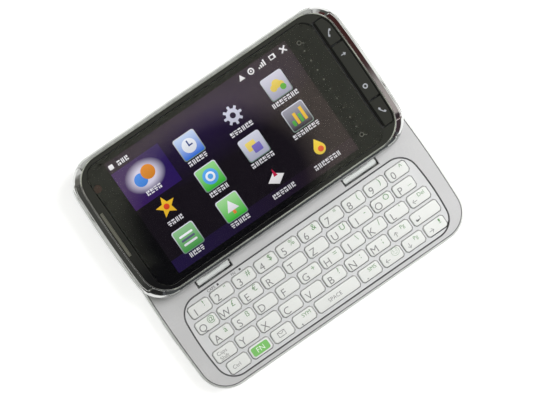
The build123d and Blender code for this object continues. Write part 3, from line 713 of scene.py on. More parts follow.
def place_mesh(
    mesh: bpy.types.Mesh,
    name: str,
    body: str,
    finishes: Sequence[Finish],
    slot: str,
    stands_for: Sequence[str] = (),
    smooth: float = 32.0,
) -> bpy.types.Object:
    """Put a mesh in metres into the scene as a piece.

    Args:
        mesh: Mesh in metres, in the phone's own frame.
        name: Name of the piece.
        body: CAD body that it rides on.
        finishes: Its finishes, in the order of the material indices.
        slot: Not used.
        stands_for: CAD nodes that it replaces.
        smooth: Angle in degrees under which faces shade into each other.

    Returns:
        The finished object.
    """
    for finish in finishes:
        mesh.materials.append(finish.material())
    mesh.shade_smooth()
    mesh.set_sharp_from_angle(angle=radians(smooth))
    piece = linked(name, mesh)
    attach(piece, body)
    if stands_for:
        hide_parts(*stands_for)
    log.info("%s: %d faces on %s", name, len(mesh.polygons), body)
    return piece


@dataclass
class Stock:
    """Mesh in millimetres that a piece is shaped in.

    Attributes:
        origin: Point that every place is measured from.
        bm: The mesh.
    """

    origin: Point = (0.0, 0.0, 0.0)
    bm: BMesh = field(default_factory=bmesh.new)

    def placed(self, point: Sequence[float]) -> Point:
        """Point measured from the origin, given in the phone's frame."""
        return tuple(a + b for a, b in zip(self.origin, point))

    def grown(self, known: set[bmesh.types.BMFace], index: int = 0) -> Faces:
        """Paint and list the faces gained since a set of the faces was taken.

        Args:
            known: Faces that were there before.
            index: Material index of the new ones.

        Returns:
            The new faces.
        """
        faces = [face for face in self.bm.faces if face not in known]
        paint(faces, index)
        return faces

    def bevel(self, edges: Iterable[bmesh.types.BMEdge], width: float, segments: int) -> None:
        """Round edges.

        Args:
            edges: Edges to round.
            width: Width of the rounding.
            segments: Steps in it.
        """
        bmesh.ops.bevel(
            self.bm,
            geom=list(edges),
            offset=width,
            segments=segments,
            profile=0.5,
            affect="EDGES",
            material=-1,
        )

    def block(self, low: Point, high: Point, index: int = 0) -> Faces:
        """Add a box.

        Args:
            low: Lowest corner.
            high: Highest corner.
            index: Material index.

        Returns:
            Its faces.
        """
        known = set(self.bm.faces)
        size = [b - a for a, b in zip(low, high)]
        centre = self.placed([(a + b) / 2 for a, b in zip(low, high)])
        matrix = Matrix.Translation(centre) @ Matrix.Diagonal((*size, 1.0))
        bmesh.ops.create_cube(self.bm, size=1.0, matrix=matrix)
        return self.grown(known, index)

    def plate(
        self, x_span: Span, y_span: Span, z_span: Span, corner: float, segments: int = 4, index: int = 0
    ) -> Faces:
        """Add a plate with rounded corners in plan.

        Args:
            x_span: Extent along X.
            y_span: Extent along Y.
            z_span: Extent along Z.
            corner: Corner radius.
            segments: Steps round each corner.
            index: Material index.

        Returns:
            Its faces.
        """
        known = set(self.bm.faces)
        edges = {edge for face in self.block(*zip(x_span, y_span, z_span)) for edge in face.edges}
        uprights = [edge for edge in edges if abs(edge.verts[0].co.z - edge.verts[1].co.z) > 1e-6]
        self.bevel(uprights, corner, segments)
        return self.grown(known, index)

    def disc(self, centre: Span, z_span: Span, radius: float, segments: int = 24, index: int = 0) -> Faces:
        """Add an upright disc.

        Args:
            centre: Its axis in plan.
            z_span: Extent along Z.
            radius: Its radius.
            segments: Steps round it.
            index: Material index.

        Returns:
            Its faces.
        """
        known = set(self.bm.faces)
        place = Matrix.Translation(self.placed((*centre, sum(z_span) / 2)))
        height = z_span[1] - z_span[0]
        bmesh.ops.create_cone(
            self.bm,
            cap_ends=True,
            segments=segments,
            radius1=radius,
            radius2=radius,
            depth=height,
            matrix=place,
        )
        return self.grown(known, index)

    def ring(
        self, centre: Span, z_span: Span, inner: float, outer: float, segments: int = 32, index: int = 0
    ) -> Faces:
        """Add a flat ring with a square section.

        Args:
            centre: Its axis in plan.
            z_span: Extent along Z.
            inner: Inner radius.
            outer: Outer radius.
            segments: Steps round it.
            index: Material index.

        Returns:
            Its faces.
        """
        known = set(self.bm.faces)
        x, y, low = self.placed((*centre, z_span[0]))
        high = low + z_span[1] - z_span[0]
        section = ((inner, low), (outer, low), (outer, high), (inner, high))
        verts = [self.bm.verts.new((x + r, y, z)) for r, z in section]
        edges = [self.bm.edges.new((verts[i], verts[(i + 1) % 4])) for i in range(4)]
        bmesh.ops.spin(
            self.bm,
            geom=edges,
            cent=(x, y, low),
            axis=(0, 0, 1),
            angle=2 * pi,
            steps=segments,
            use_merge=True,
        )
        return self.grown(known, index)

    def prism(self, points: Sequence[Span], z_span: Span, index: int = 0) -> Faces:
        """Add an upright prism over a few corner points.

        Args:
            points: Corners in order.
            z_span: Extent along Z.
            index: Material index.

        Returns:
            Its faces.
        """
        known = set(self.bm.faces)
        base = self.bm.faces.new([self.bm.verts.new(self.placed((*point, z_span[0]))) for point in points])
        base.normal_update()
        self.raise_face(base, z_span[1] - z_span[0])
        return self.grown(known, index)

    def star(self, z_span: Span, points: int, tip: float, notch: float, index: int = 0) -> Faces:
        """Add an upright star about the origin.

        Args:
            z_span: Extent along Z.
            points: Number of its points.
            tip: Radius at the points.
            notch: Share of that radius between them.
            index: Material index.

        Returns:
            Its faces.
        """
        known = set(self.bm.faces)
        centre = Vector(self.placed((0.0, 0.0, z_span[0])))
        verts = bmesh.ops.create_circle(
            self.bm, cap_ends=True, segments=2 * points, radius=tip, matrix=Matrix.Translation(centre)
        )["verts"]
        for vert in verts[1::2]:
            vert.co = centre + (vert.co - centre) * notch
        self.raise_face(verts[0].link_faces[0], z_span[1] - z_span[0])
        return self.grown(known, index)

    def raise_face(self, base: bmesh.types.BMFace, height: float) -> None:
        """Draw a face up along Z into a solid.

        Args:
            base: Face to start from, which stays as the underside.
            height: How far it goes up.
        """
        made = bmesh.ops.extrude_face_region(self.bm, geom=[base])["geom"]
        top = [item for item in made if isinstance(item, bmesh.types.BMVert)]
        bmesh.ops.translate(self.bm, verts=top, vec=(0, 0, height))

    def words(self, words: str, place: Point, height: float, index: int = 0) -> None:
        """Add one word or sign in a thin face, centred on its place.

        Args:
            words: Characters to write.
            place: Middle of the word on the surface that it lies on.
            height: Height of a capital letter.
            index: Material index.
        """
        curve = bpy.data.curves.new("words", "FONT")
        curve.body = words
        curve.size = height / CAPITAL_SHARE
        curve.offset = INK_SPREAD * curve.size
        curve.align_x = "CENTER"
        curve.resolution_u = 4
        curve.extrude = INK_THICKNESS / 2
        text = linked("words", curve)
        mesh = evaluated_mesh(text)
        drop = height / 2 - words.count("\n") * curve.size / 2
        mesh.transform(Matrix.Translation((place[0], place[1] - drop, place[2] + INK_THICKNESS / 2)))
        known = set(self.bm.faces)
        self.bm.from_mesh(mesh)
        self.grown(known, index)
        bpy.data.objects.remove(text)
        bpy.data.curves.remove(curve)
        bpy.data.meshes.remove(mesh)

    def turn(self, faces: Iterable[bmesh.types.BMFace], about: Span, angle: float) -> None:
        """Turn faces in plan.

        Args:
            faces: Faces to turn.
            about: Axis in plan.
            angle: Angle in radians.
        """
        verts = list({vert for face in faces for vert in face.verts})
        cent = self.placed((*about, 0.0))
        bmesh.ops.rotate(self.bm, verts=verts, cent=cent, matrix=Matrix.Rotation(angle, 3, "Z"))

    def mesh(self, name: str) -> bpy.types.Mesh:
        """Mesh in metres with its normals outward, which uses up the stock.

        Args:
            name: Name of the mesh.

        Returns:
            The mesh.
        """
        bmesh.ops.scale(self.bm, vec=(MM, MM, MM), verts=self.bm.verts)
        bmesh.ops.recalc_face_normals(self.bm, faces=self.bm.faces)
        return baked(self.bm, name)

    def piece(self, name: str, body: str, finishes: Sequence[Finish], slot: str, **rest: object) -> None:
        """Turn the stock into a piece of the phone, as place_mesh does, which uses it up."""
        place_mesh(self.mesh(name), name, body, finishes, slot, **rest)

    def on_display(self, name: str, finishes: Sequence[Finish], slot: str) -> None:
        """Turn the stock into a piece that rides on the display."""
        self.piece(name, Body.DISPLAY.value, finishes, slot)


def node_mesh(node: str) -> BMesh:
    """Merged copy of a CAD node's mesh, in metres.

    Args:
        node: Name of the CAD node.

    Returns:
        The copy, which the caller frees.
    """
    bm = bmesh.new()
    bm.from_mesh(frame["nodes"][node].data)
    bmesh.ops.remove_doubles(bm, verts=bm.verts, dist=1e-7)
    bmesh.ops.dissolve_limit(
        bm, angle_limit=radians(0.5), verts=bm.verts, edges=bm.edges, use_dissolve_boundaries=False
    )
    return bm


@dataclass(frozen=True)
class Rim:
    """Painted shade: a darker line along the borders of a flat top, where a joint throws shade."""

    finish: Finish
    width_mm: float

    def lay(self, bm: BMesh, index: int) -> None:
        """Paint shade on the borders of the highest flat face of a mesh in metres.

        Args:
            bm: Mesh to work on.
            index: Material index of the line.
        """
        flat = [face for face in bm.faces if face.normal.z > 0.999]
        top = max(face.calc_center_median().z for face in flat)
        region = [face for face in flat if face.calc_center_median().z > top - 0.02 * MM]
        made = bmesh.ops.inset_region(
            bm, faces=region, thickness=self.width_mm * MM, use_boundary=True, use_even_offset=True
        )
        paint(made["faces"], index)


def softened_node(
    node: str,
    name: str,
    finish: Finish,
    slot: str,
    width_mm: float,
    sharper_than: float = 50.0,
    smooth: float = 40.0,
    harden: bool = False,
    rim: Rim | None = None,
) -> bpy.types.Object:
    """Stand-in for a CAD node with its sharp edges broken.

    Args:
        node: CAD node to copy and replace.
        name: Name of the piece.
        finish: Its finish.
        slot: Not used; passed on to place_mesh, which ignores it.
        width_mm: Width of the broken edges.
        sharper_than: Edges sharper than this many degrees are broken.
        smooth: Angle in degrees under which faces shade into each other.
        harden: Keep the faces beside the broken edges flat in shade.
        rim: Painted shade line along the borders of its flat top, or None.

    Returns:
        The finished object.
    """
    bm = node_mesh(node)
    paint(bm.faces, 0)
    finishes = [finish]
    if rim is not None:
        rim.lay(bm, 1)
        finishes.append(rim.finish)
    body = frame["nodes"][node]["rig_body"]
    piece = place_mesh(baked(bm, name), name, body, finishes, slot, [node], smooth)
    bevel = piece.modifiers.new("broken_edges", "BEVEL")
    bevel.width = width_mm * MM
    bevel.segments = 2
    bevel.limit_method = "ANGLE"
    bevel.angle_limit = radians(sharper_than)
    bevel.use_clamp_overlap = True
    bevel.harden_normals = harden
    return piece


def dress(finish: Finish, *nodes: str) -> None:
    """Give CAD nodes a finish.

    Args:
        finish: Finish to put in all their slots.
        nodes: Names of the CAD nodes.
    """
    for node in nodes:
        mesh = frame["nodes"][node].data
        if not mesh.materials:
            mesh.materials.append(None)
        for index in range(len(mesh.materials)):
            mesh.materials[index] = finish.material()


# ---- keyboard -------------------------------------------------------------------------------
KEY_SIGNS: dict[str, tuple[Sequence[str], Sequence[str]]] = {
    "number_keys": ("1234567890", '!"#$%&*()^'),
    "upper_letter_keys": ("QWERTZUIOP", "@£€   Ü-Ö_"),
    "home_letter_keys": ("ASDFGHJKL", "äß  +=\\/'"),
    "delete_key": ("←", ["Del"]),
    "shift_key": (["Caps\nShift"], " "),
    "lower_letter_keys": ("YXCVBNM", "    ?:;"),
    "up_key": ("↑", ["Pg"]),
    "enter_key": ("↵", " "),
    "control_key": (["Ctrl"], " "),
    "function_key": (" ", " "),
    "mail_key": (" ", " "),
    "comma_key": (",", ["SYM"]),
    "space_key": (" ", " "),
    "period_key": (".", ["SMS"]),
    "left_key": ("←", "☺"),
    "down_key": ("↓", ["Pg"]),
    "right_key": ("→", " "),
}


@dataclass
class Keyboard:
    """Five rows of crowned keycaps, their legends and the panel round them."""

    gap: float = 1.1
    flange: float = 0.2
    flange_height: float = 0.35
    flange_inset: float = 0.8
    skirt_lift: float = 0.3
    corner: float = 1.15
    corner_steps: int = 5
    edge: float = 0.3
    edge_steps: int = 3
    crown: float = 0.035
    crown_inset: float = 0.45
    main_at: Span = (2.3, -0.5)
    main_height: float = 2.7
    arrow_share: float = 0.7
    word_at: Span = (3.4, -0.2)
    word_height: float = 1.4
    side_share: float = 0.74
    side_word_share: float = 0.66
    side_rise: float = 0.9
    side_height: float = 2.1
    ink_lift: float = 0.004
    ink_height: float = 0.012
    badge_inset: Span = (0.75, 0.85)
    badge_corner: float = 0.7
    badge_word_height: float = 1.9
    envelope_half: Span = (1.45, 0.95)
    envelope_line: float = 0.1
    flap_at: Span = (0.68, 0.44)
    flap_half: Span = (0.85, 0.09)
    flap_turn: float = 0.55
    lamp_word_at: float = 1.9
    lamp_word_height: float = 1.0
    lamp_at: float = 2.9
    lamp_half: float = 0.4
    # Painted shade line round the key openings and along the panel's edge.
    rim: Rim = Rim(Moulding("panel_joint_shade", tint(150, 150, 152), 0.5), 0.17)

    def cap(self, stock: Stock, x: float, half: float, low: Vector, high: Vector) -> None:
        """Add one keycap with its hidden flange.

        Args:
            stock: Mesh to add to.
            x: Centre along X.
            half: Half its length along X.
            low: Lowest corner of its row.
            high: Highest corner of its row.
        """
        skirt = (low.z + self.skirt_lift, high.z - self.crown)
        known = set(stock.bm.faces)
        depth = (low.y + self.flange, high.y - self.flange)
        faces = stock.plate((x - half, x + half), depth, skirt, self.corner, self.corner_steps)
        top = max(faces, key=lambda face: face.calc_center_median().z)
        stock.bevel(top.edges, self.edge, self.edge_steps)
        faces = stock.grown(known)
        crest = max(faces, key=lambda face: (round(face.calc_center_median().z, 4), face.calc_area()))
        bmesh.ops.inset_individual(stock.bm, faces=[crest], thickness=self.crown_inset, depth=self.crown)
        half -= self.flange_inset
        stock.block((x - half, low.y, low.z), (x + half, high.y, low.z + self.flange_height))

    def row(self, node: str) -> None:
        """Make the caps and the legends of one node.

        Args:
            node: Node of a row of keys.
        """
        low, high, _ = box_mm(node)
        caps, marks = Stock(), Stock()
        y, z = (low.y + high.y) / 2, high.z + self.ink_lift
        count = len(KEY_SIGNS[node][0])
        length = (high.x - low.x - (count - 1) * self.gap) / count
        for index, (main, side) in enumerate(zip(*KEY_SIGNS[node])):
            left = low.x + index * (length + self.gap)
            self.cap(caps, left + length / 2, length / 2, low, high)
            if len(main) > 1:
                marks.words(main, (left + self.word_at[0], y + self.word_at[1], z), self.word_height)
            elif main.strip():
                height = self.main_height * (self.arrow_share if main in "←↑→↓↵" else 1.0)
                marks.words(main, (left + self.main_at[0], y + self.main_at[1], z), height)
            if len(side) > 1:
                x = left + length * self.side_word_share
                marks.words(side, (x, y + self.side_rise, z), self.word_height, 1)
            elif side.strip():
                x = left + length * self.side_share
                marks.words(side, (x, y + self.side_rise, z), self.side_height, 1)
        caps.piece(f"{node}_caps", node, [KEY_PLASTIC], "key_white", stands_for=[node], smooth=40.0)
        if marks.bm.faces:
            marks.piece(f"{node}_legends", node, [LEGEND_GREY, LEGEND_GREEN], "key_white")
        else:
            marks.bm.free()

    def envelope(self, middle: Vector, z: float) -> None:
        """Envelope sign on the mail key.

        Args:
            middle: Middle of the key.
            z: Height that the sign lies at.
        """
        sign = Stock((middle.x - 0.4, middle.y, z))
        (wide, tall), line, ink = self.envelope_half, self.envelope_line, self.ink_height
        (flap_x, flap_y), (long, thick) = self.flap_at, self.flap_half
        for side in (-1, 1):
            x, y = side * wide, side * tall
            sign.block((-wide, y - line, 0.0), (wide, y + line, ink))
            sign.block((x - line, -tall, 0.0), (x + line, tall, ink + 0.002))
            x = side * flap_x
            top = ink + 0.004 + side * 0.001
            flap = sign.block((x - long, flap_y - thick, 0.0), (x + long, flap_y + thick, top))
            sign.turn(flap, (x, flap_y), side * self.flap_turn)
        sign.piece("mail_key_legend", "mail_key", [LEGEND_GREY], "key_white")

    def special_signs(self) -> None:
        """Signs that are shapes or whole words: function, mail, space and voice keys."""
        low, high, middle = box_mm("function_key")
        z = high.z + self.ink_lift
        badge, word = Stock(), Stock()
        ends, sides = self.badge_inset
        x_span, y_span = (low.x + ends, high.x - ends), (low.y + sides, high.y - sides)
        badge.plate(x_span, y_span, (high.z - 0.05, z + 0.004), self.badge_corner)
        badge.piece("function_key_badge", "function_key", [KEY_GREEN], "key_white")
        word.words("FN", (middle.x, middle.y, z + 0.006), self.badge_word_height)
        word.piece("function_key_legend", "function_key", [LEGEND_WHITE], "key_white")
        self.envelope(box_mm("mail_key")[2], z)
        middle = box_mm("space_key")[2]
        word = Stock()
        word.words("SPACE", (middle.x - 1.0, middle.y - 0.1, z), self.word_height)
        word.piece("space_key_legend", "space_key", [LEGEND_GREY], "key_white")
        low, high, _ = box_mm("right_key")
        voice = Stock((high.x - 2.0, (low.y + high.y) / 2 + 1.0, z))
        voice.plate((-0.32, 0.32), (-0.35, 0.75), (0.0, self.ink_height), 0.28, 3)
        voice.block((-0.08, -0.8, 0.0), (0.08, -0.35, self.ink_height))
        voice.block((-0.45, -0.95, 0.0), (0.45, -0.8, self.ink_height))
        voice.piece("right_key_voice_mark", "right_key", [LEGEND_GREEN], "key_white")

    def lamp_marks(self) -> None:
        """Small marks for the two lock lamps between the panel's rim and the first row."""
        top = box_mm("keyboard_panel")[1]
        low, high, _ = box_mm("number_keys")
        y = (top.y + high.y - self.flange) / 2
        pitch = (high.x - low.x + self.gap) / 10
        z = (top.z + self.ink_lift, top.z + self.ink_lift + self.ink_height)
        marks = Stock()
        for key, word in ((1, "CAPS"), (2, "FN")):
            x = low.x + pitch * key + self.lamp_word_at
            marks.words(word, (x, y, z[0]), self.lamp_word_height)
            x += self.lamp_at
            half = self.lamp_half
            marks.plate((x - half, x + half), (y - half, y + half), z, 0.15, 2)
        marks.piece("lock_lamp_marks", Body.BASE.value, [LEGEND_DARK], "panel_silver")

    def build(self) -> None:
        """Make the whole keyboard."""
        for node in KEY_SIGNS:
            self.row(node)
        self.special_signs()
        self.lamp_marks()
        softened_node(
            "keyboard_panel", "keyboard_plate", PANEL_PAINT, "panel_silver", 0.06, harden=True, rim=self.rim
        )
        dress(DOME_FILM, "key_dome_sheet")


# ---- base -----------------------------------------------------------------------------------
@dataclass
class Base:
    """Housing of the base with what shows at its sides and underneath."""

    screw_x: float = 53.3
    screw_y: Span = (-12.5, 13.5)
    screw_radius: float = 1.3
    screw_sunk: float = 0.2
    screw_height: float = 0.5
    bore_slack: float = 0.15
    bore_span: Span = (-1.0, 0.8)
    slot_half: Span = (0.95, 0.14)
    slot_depth: float = 0.1
    ring_width: float = 1.0
    ring_span: Span = (0.02, 0.42)
    contact_pitch: float = 0.9
    contact_half: float = 0.2
    contact_reach: Span = (5.5, 1.1)
    contact_span: Span = (3.98, 4.02)
    # Painted shade line along the deck's outer seam and round its openings.
    rim: Rim = Rim(Moulding("deck_joint_shade", tint(104, 104, 107), 0.5), 0.27)

    def shell(self) -> None:
        """Shell skin, bored for the four screw heads."""
        skin = softened_node("lower_shell", "shell_skin", SHELL_PAINT, "shell_white", 0.1, smooth=40.0)
        bores = Stock()
        for place in self.screw_places():
            bores.disc(place, self.bore_span, self.screw_radius + self.bore_slack, 32)
        cutter = linked("screw_bores", bores.mesh("screw_bores"))
        cut = skin.modifiers.new("screw_bores", "BOOLEAN")
        cut.operation = "DIFFERENCE"
        cut.solver = "EXACT"
        cut.object = cutter
        bored = evaluated_mesh(skin)
        skin.modifiers.clear()
        skin.data = bored
        bpy.data.meshes.remove(cutter.data)

    def screw_places(self) -> list[Span]:
        """Axes of the four screws, in millimetres."""
        return [(side * self.screw_x, y) for side in (-1, 1) for y in self.screw_y]

    def screws(self) -> None:
        """Four cross-slotted screws, sunk in the underside, their slots drawn as black blocks: painted shade.
        """
        heads = Stock()
        sunk = self.screw_sunk
        long, short = self.slot_half
        for x, y in self.screw_places():
            heads.disc((x, y), (sunk, sunk + self.screw_height), self.screw_radius, 28)
            # Painted shade: each slot is a thin black block on the head, not a cut.
            top = sunk + self.slot_depth
            for half_x, half_y, lift in ((long, short, 0.004), (short, long, 0.006)):
                heads.block((x - half_x, y - half_y, sunk - lift), (x + half_x, y + half_y, top), 1)
        heads.piece("housing_screws", Body.BASE.value, [STEEL, BLACK_MOULDING], "steel")

    def camera_trim(self) -> None:
        """Steel ring and dark glass of the main camera."""
        low, high, middle = box_mm("camera_lens")
        radius = (high.x - low.x) / 2
        ring = Stock()
        ring.ring((middle.x, middle.y), self.ring_span, radius - self.ring_width, radius, 48)
        ring.piece("camera_ring", Body.BASE.value, [STEEL_ACROSS], "steel")
        dress(LENS_BLACK, "camera_lens")

    def socket_contacts(self) -> None:
        """Five plated contacts on the socket's tongue."""
        mouth = box_mm("usb_socket")[1].x
        contacts = Stock()
        for index in range(-2, 3):
            y, half = index * self.contact_pitch, self.contact_half
            x_span = (mouth - self.contact_reach[0], mouth - self.contact_reach[1])
            contacts.block(*zip(x_span, (y - half, y + half), self.contact_span))
        contacts.piece("socket_contacts", Body.BASE.value, [CONTACT_GOLD], "steel")

    def build(self) -> None:
        """Make and dress the base."""
        self.shell()
        softened_node("deck", "deck_skin", DECK_PAINT, "deck_silver", 0.06, harden=True, rim=self.rim)
        softened_node("battery_cover", "battery_cover_skin", COVER_METAL, "cover_metal", 0.08)
        self.screws()
        self.camera_trim()
        self.socket_contacts()
        dress(BATTERY_WRAP, "battery")
        dress(BLACK_MOULDING, "battery_contacts", "camera_module", "loudspeaker")
        dress(LAMINATE, "main_board")
        dress(STEEL, "sim_holder", "hinge_brackets", "hinge_pins", "usb_socket")
        dress(SPEAKER_MESH, "speaker_grille")
        dress(NYLON, "stylus_sleeve")
        dress(STYLUS_PAINT, "stylus")
        dress(SIDE_KEY_PAINT, "power_button", "volume_rocker")
        dress(STEEL_ACROSS, "vibration_motor", "vibrator_weight")


@dataclass
class TiltCarrier:
    """Hinge bars, plate and shoes that carry the display."""

    def build(self) -> None:
        """Dress the carrier."""
        softened_node("hinge_bars", "hinge_bar_skins", BAR_PAINT, "bar_silver", 0.15)
        dress(STEEL_ACROSS, "tilt_plate")
        dress(NYLON, "slide_shoes")


# ---- display --------------------------------------------------------------------------------
@dataclass
class Surround:
    """Dark chrome surround of the display with its bright lip."""

    lip_edge: float = 0.16
    trim_edge: float = 0.12

    def build(self) -> None:
        """Make the surround and the bright lip."""
        for node, finish, edge in (
            ("display_bezel", BEZEL_CHROME, self.lip_edge),
            ("end_trim_right", TRIM_CHROME, self.trim_edge),
            ("side_strip_front", TRIM_CHROME, self.trim_edge),
            ("side_strip_rear", TRIM_CHROME, self.trim_edge),
            ("end_trim_left", SATIN_CHROME, self.trim_edge),
        ):
            softened_node(node, f"{node}_plated", finish, "chrome_dark", edge, 62.0, 46.0, True)
        dress(MAGNESIUM, "display_chassis")
        dress(STEEL_ACROSS, "slide_rails")
        dress(LAMINATE, "display_board")
        dress(BLACK_MOULDING, "earpiece", "front_camera")
        dress(EAR_MESH, "earpiece_grille")


SIGN_STROKES = (
    ((0.0, 0.0, 0.35, 1.0), (0.5, 0.55, 1.0, 1.0), (0.5, 0.0, 1.0, 0.3)),
    ((0.0, 0.7, 1.0, 1.0), (0.0, 0.0, 0.3, 0.5), (0.5, 0.0, 1.0, 0.5)),
    ((0.0, 0.0, 1.0, 0.25), (0.0, 0.45, 0.6, 1.0), (0.75, 0.45, 1.0, 1.0)),
    ((0.1, 0.0, 0.4, 1.0), (0.6, 0.0, 0.9, 1.0)),
    ((0.0, 0.35, 1.0, 0.6), (0.0, 0.8, 1.0, 1.0), (0.2, 0.0, 0.8, 0.2)),
)


class Motif(Enum):
    """Simple signs on the icons."""

    STAR = "star"
    RING = "ring"
    BARS = "bars"
    SUN = "sun"
    CLOCK = "clock"
    CLOUD = "cloud"
    CARDS = "cards"
    DIAMOND = "diamond"
    TREE = "tree"
    WAVES = "waves"
    DROP = "drop"
    BALLS = "balls"


MOTIF_LOW = (0.07, 0.1)
MOTIF_HIGH = (0.1, 0.12)


@dataclass(frozen=True)
class Icon:
    """One icon: its motif, its ink and accent colours, and its tile's colours from head to foot."""

    motif: Motif
    ink: Colour
    accent: Colour
    tile: tuple[Colour, Colour] | None = None

    def draw(self, stock: Stock) -> None:
        """Add the shapes of the motif, in ink (material 0) and accent (material 1).

        Args:
            stock: Mesh to add to, with its origin at the icon's middle.
        """
        low, high = MOTIF_LOW, MOTIF_HIGH
        if self.motif is Motif.STAR:
            stock.star(low, 5, 4.0, 0.45)
            stock.disc((0, 0), high, 1.1, 20, 1)
        elif self.motif is Motif.RING:
            stock.disc((0, 0), low, 2.9, 28)
            stock.ring((0, 0), high, 1.0, 1.8, 24, 1)
        elif self.motif is Motif.BARS:
            for index, height in enumerate((2.0, 4.4, 3.2, 5.2)):
                x = index * 1.55 - 2.9
                stock.block((x, -2.6, low[0]), (x + 1.15, height - 2.6, low[1]), (index + 1) % 2)
        elif self.motif is Motif.SUN:
            for index in range(8):
                ray = stock.plate((2.2, 3.6), (-0.5, 0.5), low, 0.2, 2)
                stock.turn(ray, (0, 0), index * pi / 4)
            stock.ring((0, 0), low, 1.1, 2.5, 28)
        elif self.motif is Motif.CLOCK:
            stock.disc((0, 0), low, 2.7, 32)
            stock.block((-0.25, -0.3, high[0]), (0.25, 2.0, high[1]), 1)
            stock.block((-0.3, -0.25, high[0]), (1.5, 0.25, high[1]), 1)
        elif self.motif is Motif.CLOUD:
            for x, y, radius in ((-1.4, -0.4, 1.3), (0.2, 0.5, 1.7), (1.7, -0.3, 1.2)):
                stock.disc((x, y), low, radius, 22)
            stock.disc((1.9, -1.6), high, 1.15, 20, 1)
        elif self.motif is Motif.CARDS:
            stock.plate((-2.6, 1.2), (-1.0, 2.4), low, 0.4, 3)
            stock.plate((-0.9, 2.6), (-2.5, 0.6), high, 0.4, 3, 1)
        elif self.motif is Motif.DIAMOND:
            stock.prism(((-3.4, -0.6), (0, -2.9), (3.4, -0.6), (0, 1.7)), low)
            stock.prism(((-0.4, 0.2), (1.2, 0.2), (0.4, 3.2)), high, 1)
        elif self.motif is Motif.TREE:
            stock.prism(((-2.4, -1.2), (2.4, -1.2), (0, 2.8)), low)
            stock.block((-0.55, -2.6, low[0]), (0.55, -1.2, low[1]), 1)
        elif self.motif is Motif.WAVES:
            for index in range(3):
                y = index * 1.6 - 2.2
                stock.plate((-2.8, 2.8), (y, y + 0.8), low, 0.38, 3, index % 2)
        elif self.motif is Motif.DROP:
            stock.disc((0, -0.6), low, 2.2, 28)
            stock.prism(((-1.9, 0.5), (1.9, 0.5), (0, 3.4)), low)
            stock.disc((0.3, -0.9), high, 1.1, 20, 1)
        else:
            stock.disc((1.6, 0.7), high, 2.7, 32)
            stock.disc((-2.1, -0.5), low, 2.5, 32, 1)


ICONS = (
    Icon(Motif.BALLS, tint(222, 138, 40), tint(70, 140, 228)),
    Icon(Motif.CLOCK, tint(236, 240, 248), tint(30, 60, 130), (tint(196, 214, 240), tint(38, 104, 208))),
    Icon(Motif.SUN, tint(206, 208, 226), tint(150, 152, 176)),
    Icon(Motif.CLOUD, tint(232, 206, 96), tint(92, 176, 62), (tint(206, 206, 220), tint(150, 152, 172))),
    Icon(Motif.STAR, tint(238, 190, 44), tint(216, 70, 36)),
    Icon(Motif.RING, tint(92, 168, 238), tint(240, 246, 252), (tint(150, 214, 140), tint(42, 168, 40))),
    Icon(Motif.CARDS, tint(236, 212, 110), tint(120, 110, 190), (tint(206, 208, 222), tint(160, 162, 182))),
    Icon(Motif.BARS, tint(236, 190, 50), tint(72, 170, 66), (tint(150, 152, 164), tint(24, 24, 34))),
    Icon(Motif.WAVES, tint(236, 238, 244), tint(90, 92, 120), (tint(140, 190, 140), tint(60, 140, 62))),
    Icon(Motif.TREE, tint(238, 238, 244), tint(224, 128, 60), (tint(160, 214, 150), tint(46, 170, 40))),
    Icon(Motif.DIAMOND, tint(232, 230, 232), tint(190, 30, 70)),
    Icon(Motif.DROP, tint(240, 210, 70), tint(226, 90, 40)),
)


